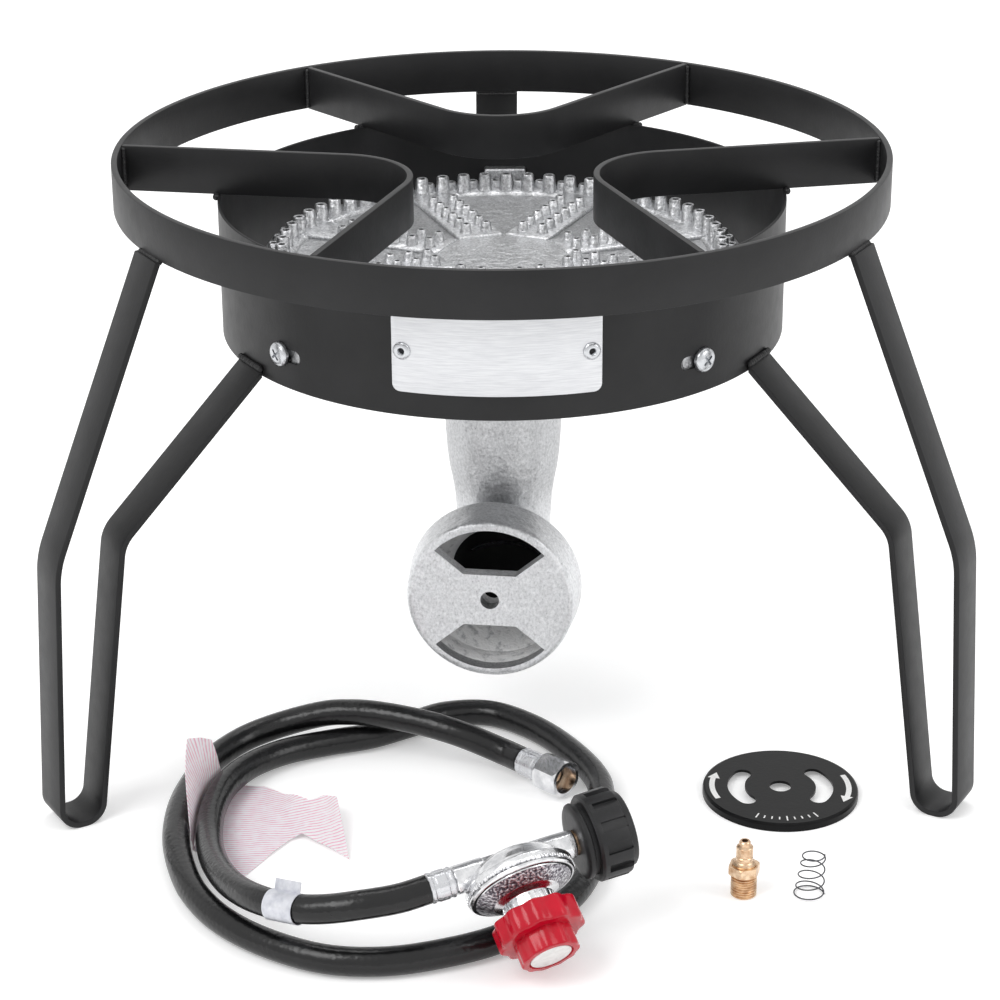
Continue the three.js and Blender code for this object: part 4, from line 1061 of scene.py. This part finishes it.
def lobed(radius, depth, steps):
    """A grip's outline, in round lobes."""
    points = []
    for i in range(GRIP_LOBES * steps):
        angle = TURN * i / (GRIP_LOBES * steps)
        reach = radius + depth * math.cos(GRIP_LOBES * angle)
        points.append((reach * math.cos(angle), reach * math.sin(angle)))
    return points


def make_housing():
    """The die-cast lower half: a dished back, and a flange crimped over in small teeth."""
    dish = spun(
        [
            (0, -15.2), (10, -15), (15.4, -13.9), (19.6, -11.6), (22.6, -8.6), (24.3, -6.2), (25.4, -4.9),
            (26.4, -4.2), (26.7, -3.6), (26.7, -1.4), (26.2, -0.9), (25.4, -0.15), (22.8, -0.15), (22.8, -2),
            (20.8, -4), (11.4, -6.5), (0, -6.5),
        ]
    )
    tooth = soften(brick((1.6, 1.5, 1.5), (26.1, 0, -0.9)), 0.4, 2)
    teeth = spread(tooth, [i + 0.18 * math.sin(i * 2.3) for i in range(TEETH)], TEETH)
    whole = merged(dish, *teeth)
    finished("dished_housing", whole, KNOB, NICKEL, replaces="regulator_body", sharp=35)


def make_gas_line():
    """The tube cast across the housing's back: a round boss at each end, and a flatted middle."""
    boss_left = [(3, -29.4), (6.4, -29.4), (6.9, -28.8), (7.0, -20), (6.9, -14.4), (6.4, -13.6), (3, -13.6)]
    boss_right = [(3, 9.6), (6.6, 9.6), (6.9, 10.4), (6.9, 22), (6.7, 30.4), (6.2, 31), (3, 31)]
    middle = moved(spun([(3, -14), (6.5, -14), (6.5, 10), (3, 10)], steps=10), about("Z", 15))
    bm = merged(spun(boss_left, steps=64), middle, spun(boss_right, steps=64))
    finished("cast_gas_line", bm, GAS_LINE, NICKEL, sharp=30)


def make_bonnet():
    """The upper half: a crimped lip with a groove in painted shade inside it, a stippled cone, and the fluted
    neck.
    """
    cover = spun(
        [
            (21.7, 0.15), (25.6, 0.15), (26.2, 0.6), (26.2, 1.5), (25.6, 2.2), (24.8, 2.3), (24.6, 1.7),
            (24.0, 1.7), (23.8, 2.9), (16.2, 6.9), (15.4, 7.5), (13.6, 8.2), (12.8, 9), (12.8, 15.4),
            (12.2, 16), (4.2, 16), (4.2, 13.3), (10, 13.3), (10, 4.4), (18.7, 1.2),
        ],
        closed=True,
    )
    for face in cover.faces:
        place = face.calc_center_median()
        reach = math.hypot(place.x, place.y)
        if 16.2 < reach < 23.9 and face.normal.z > 0.5:
            face.material_index = 1
        # Painted shade: the groove inside the lip takes the dark recess finish.
        elif 23.9 < reach < 24.75 and place.z > 1.5:
            face.material_index = 2
    flute = soften(brick((0.7, 1.6, 5.6), (12.75, 0, 12.2)), 0.25, 2)
    bm = merged(cover, *spread(flute, range(FLUTES), FLUTES))
    finishes = [NICKEL, STIPPLE, RECESS]
    finished("bonnet_cover", bm, KNOB, finishes, replaces="regulator_bonnet", sharp=32)


def make_knob():
    """Red grip: a wide fluted skirt, a stepped fluted cap, and a dished face for its label."""
    skirt = soften(slab(lobed(20.6, 0.8, 14), 15.8, 28), 1.3, 3, 60)
    cap = soften(slab(lobed(14.2, 0.35, 10), 25.5, 38.4), 0.9, 3, 60)
    dish = spun([(0, 37.4), (10.6, 37.4), (11, 38), (11.3, 40), (0, 40)], steps=64)
    shell = carved(carved(skirt, "UNION", cap), "DIFFERENCE", rod(15, 10, 25), dish)
    node = "adjusting_knob"
    finished("red_pressure_knob", shell, KNOB, RED, body="knob", replaces=node)
    face = soften(rod(10.1, 37.5, 38.2), 0.2, 2)
    finished("blank_knob_label", face, KNOB, LABEL, body="knob", replaces="knob_label")


def make_ferrule(name, node, place, length):
    """A plated sleeve with rolled grooves and the long flats of the crimping jaws."""
    radius = 7.4
    profile = [(3, 0), (radius - 0.5, 0), (radius, 0.5)]
    for share in (0.22, 0.78):
        z = length * share
        profile += [(radius, z - 1.1), (radius - 0.4, z - 0.5), (radius - 0.4, z + 0.5), (radius, z + 1.1)]
    profile += [(radius, length - 0.8), (radius - 0.7, length), (3, length)]
    sleeve = spun(profile, closed=True, steps=64)
    for vert in sleeve.verts:
        if math.hypot(vert.co.x, vert.co.y) > 5:
            angle = math.atan2(vert.co.y, vert.co.x)
            squeeze = 1 - 0.04 * max(0.0, math.cos(8 * angle))
            vert.co.x *= squeeze
            vert.co.y *= squeeze
    finished(name, sleeve, place, SLEEVE, replaces=node, sharp=28)


def make_inlet():
    """The brass probe that the bottle's valve takes."""
    profile = [
        (3, 31.3), (6, 31.3), (6, 37), (8, 37), (8, 39), (5.6, 39.6), (5, 40.4), (5, 46), (5.3, 46.6),
        (5.3, 49), (4.4, 51.4), (3.6, 52), (3, 52),
    ]
    bm = spun(profile, closed=True, steps=48)
    finished("brass_inlet_probe", bm, GAS_LINE, BRASS, replaces="inlet_nipple", sharp=30)


def make_tank_nut():
    """The black hand nut: a collar behind, and a barrel of broad flat ribs with deep slots between them."""
    collar = [
        (6.3, 32), (14, 32), (17.2, 32.3), (18.3, 33.1), (18.6, 34.2), (18.2, 35.4), (17.2, 36),
        (17.2, 38.4), (6.3, 38.4),
    ]
    barrel = [
        (15, 37.8), (20.2, 37.8), (21.3, 39), (21.4, 52.4), (20.8, 53.6), (18.6, 54.4), (18.2, 56.6),
        (17.3, 57.5), (15, 57.5),
    ]
    slots = spread(brick((4.6, 5.0, 18), (21.6, 0, 50.2)), [i + 0.5 for i in range(NUT_SLOTS)], NUT_SLOTS)
    ribbed = soften(carved(spun(barrel, closed=True), "DIFFERENCE", *slots), 0.3, 2, 50)
    nut, node = merged(spun(collar, closed=True), ribbed), "tank_nut"
    finished(
        "black_hand_nut", nut, GAS_LINE, NYLON, body="hand_nut", replaces=node, sharp=35
    )


def make_swivel_nut():
    """A plated hex nut, chamfered at both ends."""
    start = SWIVEL_START
    body = slab(hexagon(SWIVEL_CORNERS), start, start + SWIVEL_LENGTH)
    chamfer = [
        (0, start - 1), (9.6, start - 0.2), (10.75, start + 1.6), (10.75, start + 13.8),
        (9.6, start + 15.6), (0, start + 16.5),
    ]
    bore = [
        (0, start - 1), (4.3, start - 1), (4.3, start + 4), (7.6, start + 4), (7.6, start + 17),
        (0, start + 17),
    ]
    body = carved(body, "INTERSECT", spun(chamfer))
    body = carved(body, "DIFFERENCE", spun(bore, steps=48))
    node = "swivel_nut"
    finished("swivel_hex_nut", body, FLARE, NICKEL, body="flare_nut", replaces=node, sharp=25)


def make_flare_nipple():
    profile = [(2.2, 15.6), (3.9, 15.6), (3.9, 19.9), (6.3, 19.9), (6.3, 21.4), (3.9, 23.8), (2.2, 23.8)]
    bm = spun(profile, closed=True, steps=40)
    finished("flare_hose_end", bm, FLARE, BRASS, replaces="flare_nipple", sharp=30)


def make_pressure_spring():
    """The part's own winding, taken from the CAD spring and given the wire finish in its place."""
    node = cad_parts["control_spring"]
    bm = bmesh.new()
    bm.from_mesh(node.data)
    bmesh.ops.remove_doubles(bm, verts=bm.verts, dist=1e-6)
    moved(bm, node.matrix_world)
    push = (KNOB.to_3x3() @ Vector((0, 0, -1))).normalized()
    ends = [choose(bm.verts, key=lambda vert: vert.co.dot(push)).co.copy() for choose in (min, max)]
    name = "pressure_spring"
    spring = finished(name, bm, UNMOVED, WIRE, replaces="control_spring")
    tuple(ends[1])
    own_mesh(spring)


make_housing()
make_gas_line()
make_bonnet()
make_knob()
make_ferrule("outlet_ferrule", "hose_ferrule_regulator", GAS_LINE @ shift(0, 0, -42.0), 12.3)
make_ferrule("flare_ferrule", "hose_ferrule_flare", FLARE @ shift(0, 0, 0.3), 15.0)
make_inlet()
make_tank_nut()
make_swivel_nut()
make_flare_nipple()
make_pressure_spring()
for inner, finish in (("diaphragm", RUBBER), ("spring_button", ZINC), ("adjusting_screw", ZINC)):
    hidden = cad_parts[inner]
    hidden.data.materials.clear()
    hidden.data.materials.append(finish)

# ---- paper tag and label band

WING = [  # foot, crease and top of the standing wing
    ((-149.5, -97, 0.7), (-149.8, -97.5, 4), (-150.6, -98.5, 8.5)),
    ((-152.6, -103.5, 0.7), (-152.8, -104, 14), (-154.3, -106, 32)),
    ((-155.9, -112, 0.7), (-156.2, -112, 16), (-160, -113, 37)),
    ((-158.7, -122, 0.7), (-159, -122, 16), (-165.4, -120, 40)),
    ((-160.1, -135, 0.7), (-160.4, -135, 14), (-165.6, -134, 28)),
    ((-160.4, -150, 0.7), (-160.6, -150, 9), (-163.4, -149.5, 15)),
    ((-160.4, -165, 0.7), (-160.4, -165, 3.5), (-161, -165, 6)),
]
SHEET = [  # far and near edge of the strip that lies in the loop and twists towards its end
    ((-149.5, -97, 0.7), (-160.4, -165, 0.7)),
    ((-128, -101, 1.0), (-134, -195, 0.8)),
    ((-118.5, -112, 3.0), (-121, -172, 0.9)),
    ((-110, -122, 6.0), (-112, -158, 1.2)),
    ((-103, -128, 7.0), (-106, -154, 2.2)),
    ((-95.5, -127, 10.0), (-95, -163, 1.4)),
    ((-88.5, -134, 13.0), (-81, -178, 0.8)),
]
TAG_THICKNESS = 0.3
TAG_LOWEST = 0.5


def ruled(rows):
    """A sheet over rows of points, bridged from one point of each row to the next."""
    bm = bmesh.new()
    edges = []
    for chain in zip(*rows):
        verts = [bm.verts.new(p) for p in chain]
        edges.append([bm.edges.new(pair) for pair in zip(verts, verts[1:])])
    for one, other in zip(edges, edges[1:]):
        bmesh.ops.bridge_loops(bm, edges=one + other)
    bmesh.ops.subdivide_edges(bm, edges=bm.edges[:], cuts=3, use_grid_fill=True, smooth=0.6)
    return bm


def make_tag():
    """One strip of paper: under the hose's inner run, upright between the runs, and twisted in the loop."""
    wing, sheet = ruled(WING), ruled(SHEET)
    for vert in sheet.verts:
        place = vert.co
        wave = noise.noise(Vector((place.x * 0.06, place.y * 0.05, 5.0)))
        ahead = min(1.0, max(0.0, (place.x + 135) / 20))
        place.z = max(TAG_LOWEST, place.z + ahead * 1.6 * (wave + 0.3))
    for vert in wing.verts:
        wave = noise.noise(Vector((vert.co.y * 0.06, vert.co.z * 0.07, 3.0)))
        vert.co.x += 1.1 * wave * max(0.0, vert.co.z - 16) / 20
    paper = outward_faces(merged(wing, sheet))
    bmesh.ops.solidify(paper, geom=paper.faces[:], thickness=TAG_THICKNESS)
    finished("folded_paper_tag", paper, STAND, PAPER, replaces="paper_tag", sharp=60)


def make_band():
    """A film wound round the hose, its free end standing up as a small flag."""
    middle = middle_of("label_band")
    nearest = min(range(1, len(hose_line) - 1), key=lambda i: (hose_line[i] - middle).length)
    ahead = (hose_line[nearest + 1] - hose_line[nearest - 1]).normalized()
    turn = Vector((0, 0, 1)).rotation_difference(ahead).to_matrix().to_4x4()
    up = turn.inverted() @ Vector((0.1, 0.5, 1))
    flag = moved(brick((5.4, 0.3, 15), (9.8, 0, 0)), Matrix.Rotation(math.atan2(up.y, up.x), 4, "Z"))
    band = merged(pipe(7.15, 7.45, -8.5, 8.5, 64), flag)
    place = Matrix.Translation(hose_line[nearest]) @ turn @ MM
    finished("silver_hose_band", band, place, FILM, replaces="label_band")


make_tag()
make_band()

# ---- loose kit

SHUTTER = STAND @ shift(141.9, -113.5, 0)
ORIFICE = STAND @ shift(113.4, -214.3, 0)
SPRING = STAND @ shift(145.3, -216.0, 0.03)
KIDNEY_INSIDE = 18.5
KIDNEY_OUTSIDE = 27.5
KIDNEY_HALF = 37
MARK_LOW = 4.45
MARK_HIGH = 4.56
TICKS = 9
TICK_STEP = 6.5
SPRING_TURNS = 5
SPRING_HEIGHT = 23.0
SPRING_WIRE = 0.9
SPRING_WIRE_DRAWN = 0.7  # as thin as the photograph shows it
CLOSED_RISE = 1.6  # of each end curl
SPRING_FOOT = 8
SPRING_HEAD = 5.7
SPRING_LEAN = 1.8
SPRING_POINTS = 200


def kidney_tool(middle):
    """A round-ended opening on a part of a circle."""
    near, far = middle - KIDNEY_HALF, middle + KIDNEY_HALF
    centre_line = (KIDNEY_INSIDE + KIDNEY_OUTSIDE) / 2
    end = (KIDNEY_OUTSIDE - KIDNEY_INSIDE) / 2
    outline = arc(KIDNEY_OUTSIDE, near, far)
    outline += arc(end, far, far + 180, 12, polar(centre_line, far))[1:-1]
    outline += arc(KIDNEY_INSIDE, far, near)
    outline += arc(end, near + 180, near + 360, 12, polar(centre_line, near))[1:-1]
    return slab(outline, 0, 8)


def make_shutter():
    profile = [
        (0, 3), (38.6, 3), (39.2, 2.6), (39.2, 0), (40.5, 0), (40.5, 3.2), (40.1, 4.1), (39.2, 4.5), (0, 4.5)
    ]
    holes = [kidney_tool(0), kidney_tool(180), rod(5.7, 0, 8, 48)]
    disc = carved(spun(profile, steps=128), "DIFFERENCE", *holes)
    name, node = "air_shutter_disc", "air_shutter"
    finished(name, disc, SHUTTER, ENAMEL, body="shutter", replaces=node, sharp=15)
    marks = []
    for tail, neck, tip in ((200, 164, 154), (18, -20, -30)):
        shaft = arc(37, tail, neck) + arc(34.2, neck, tail)
        head = [polar(38.6, neck), polar(35.6, tip), polar(32.2, neck)]
        marks += [slab(shaft, MARK_LOW, MARK_HIGH), slab(head, MARK_LOW, MARK_HIGH)]
    for k in range(TICKS):
        length = 4.5 if k % 4 == 0 else 2.6
        tick = brick((length, 0.7, MARK_HIGH - MARK_LOW), (34.2, 0, (MARK_LOW + MARK_HIGH) / 2))
        marks.append(moved(tick, about("Z", 270 + (k - TICKS // 2) * TICK_STEP)))
    finished("shutter_marks", merged(*marks), SHUTTER, INK, body="shutter")


def make_orifice():
    profile = [(1.6, 0), (5.6, 0), (5.9, 0.4)]
    for k in range(8):
        z = 0.7 + k * 1.35
        profile += [(6.4, z), (6.4, z + 0.25), (5.6, z + 0.7), (5.6, z + 0.95)]
    profile += [
        (5.6, 11.8), (5.6, 12.4), (5.6, 17), (5.95, 17.8), (4.6, 18.4), (4.15, 18.9), (4.15, 21.2),
        (3.8, 21.6), (4.15, 22), (4.15, 26.6), (3.9, 27), (2.85, 27.6), (2.85, 29.4), (2.4, 30), (1.6, 30),
    ]
    chamfer = spun([(0, 11.8), (7.2, 11.8), (8, 12.5), (8, 16.5), (7.2, 17.2), (0, 17.2)], steps=64)
    hexagonal = carved(slab(hexagon(16, 12), 12, 17), "INTERSECT", chamfer)
    bm = merged(spun(profile, closed=True, steps=64), hexagonal)
    finished("brass_orifice", bm, ORIFICE, BRASS, replaces="orifice_fitting", sharp=25)


def winding_point(share):
    """The middle of the wire, as in the part: closed end curls and open ones between."""
    turns = share * SPRING_TURNS
    rise = SPRING_HEIGHT - SPRING_WIRE
    open_turns = SPRING_TURNS - 2
    open_rise = (rise - 2 * CLOSED_RISE) / open_turns
    closed_turns = min(turns, 1) + max(0, turns - SPRING_TURNS + 1)
    z = closed_turns * CLOSED_RISE + min(max(turns - 1, 0), open_turns) * open_rise
    radius = SPRING_FOOT + (SPRING_HEAD - SPRING_FOOT) * share - SPRING_WIRE / 2
    aside = SPRING_LEAN * z / rise
    x, y = radius * math.cos(turns * TURN), radius * math.sin(turns * TURN)
    return Vector((x + aside, y, SPRING_WIRE / 2 + z))


make_shutter()
make_orifice()
winding = [SPRING @ winding_point(k / SPRING_POINTS) for k in range(SPRING_POINTS + 1)]
finished_line(
    "shutter_spring_wire", winding, SPRING_WIRE_DRAWN, 4, WIRE, "shutter_spring"
)

# ---- floor and light

FLOOR_HALF = 6
FLOOR_TONE = 0.93
FLOOR_GLOW = 0.25  # lifts the floor to white where it is seen, and lights nothing
SKY_LIGHT = 0.75
SKY_SEEN = 1.0
LAMP_AIM = Vector((0, 0, 0.15))
LAMPS = {  # place and size in metres, and power in watts
    "key_softbox": ((-1.2, -1.2, 1.9), (1.2, 1.2), 22),
    "fill_softbox": ((1.6, -0.8, 1.3), (1.0, 1.4), 10),
    "top_softbox": ((0.2, 0.9, 2.0), (1.4, 0.8), 12),
}


def where_seen(tree, unseen, seen):
    """A strength that is one value for rays that see the background, and another for light."""
    ray = add_node(tree, "ShaderNodeLightPath").outputs
    looks = ray["Is Camera Ray"]
    for kind in ("Is Glossy Ray", "Is Transmission Ray"):
        either = add_node(tree, "ShaderNodeMath", {0: looks, 1: ray[kind]}, {"operation": "MAXIMUM"})
        looks = either.outputs["Value"]
    level = add_node(tree, "ShaderNodeMapRange", {"Value": looks}, To_Min=unseen, To_Max=seen)
    return level.outputs["Result"]


def make_floor():
    bm = bmesh.new()
    bmesh.ops.create_grid(bm, x_segments=1, y_segments=1, size=FLOOR_HALF)
    data = bpy.data.meshes.new("studio_floor")
    bm.to_mesh(data)
    bm.free()
    paper = bpy.data.materials.new("white_studio_paper")
    paper.use_nodes = True
    tree = paper.node_tree
    tree.nodes.clear()
    diffuse = add_node(tree, "ShaderNodeBsdfDiffuse", Color=(FLOOR_TONE, FLOOR_TONE, FLOOR_TONE, 1))
    strength = where_seen(tree, 0.0, FLOOR_GLOW)
    glow = add_node(tree, "ShaderNodeEmission", {"Strength": strength}, Color=(1, 1, 1, 1))
    shaders = {0: diffuse.outputs["BSDF"], 1: glow.outputs["Emission"]}
    both = add_node(tree, "ShaderNodeAddShader", shaders)
    add_node(tree, "ShaderNodeOutputMaterial", {"Surface": both.outputs["Shader"]})
    data.materials.append(paper)
    linked("studio_floor", data)


def make_world():
    world = bpy.data.worlds.new("studio_light")
    bpy.context.scene.world = world
    world.use_nodes = True
    sky = world.node_tree.nodes["Background"]
    sky.inputs["Color"].default_value = (1, 1, 1, 1)
    strength = where_seen(world.node_tree, SKY_LIGHT, SKY_SEEN)
    world.node_tree.links.new(strength, sky.inputs["Strength"])


def make_lamp(name, place, size, power):
    data = bpy.data.lights.new(name, "AREA")
    data.shape = "RECTANGLE"
    data.size, data.size_y = size
    data.energy = power
    lamp = linked(name, data)
    lamp.location = place
    lamp.rotation_euler = (LAMP_AIM - Vector(place)).to_track_quat("-Z", "Y").to_euler()


make_floor()
make_world()
for lamp_name, lamp_facts in LAMPS.items():
    make_lamp(lamp_name, *lamp_facts)
bpy.context.scene.view_settings.view_transform = "Standard"
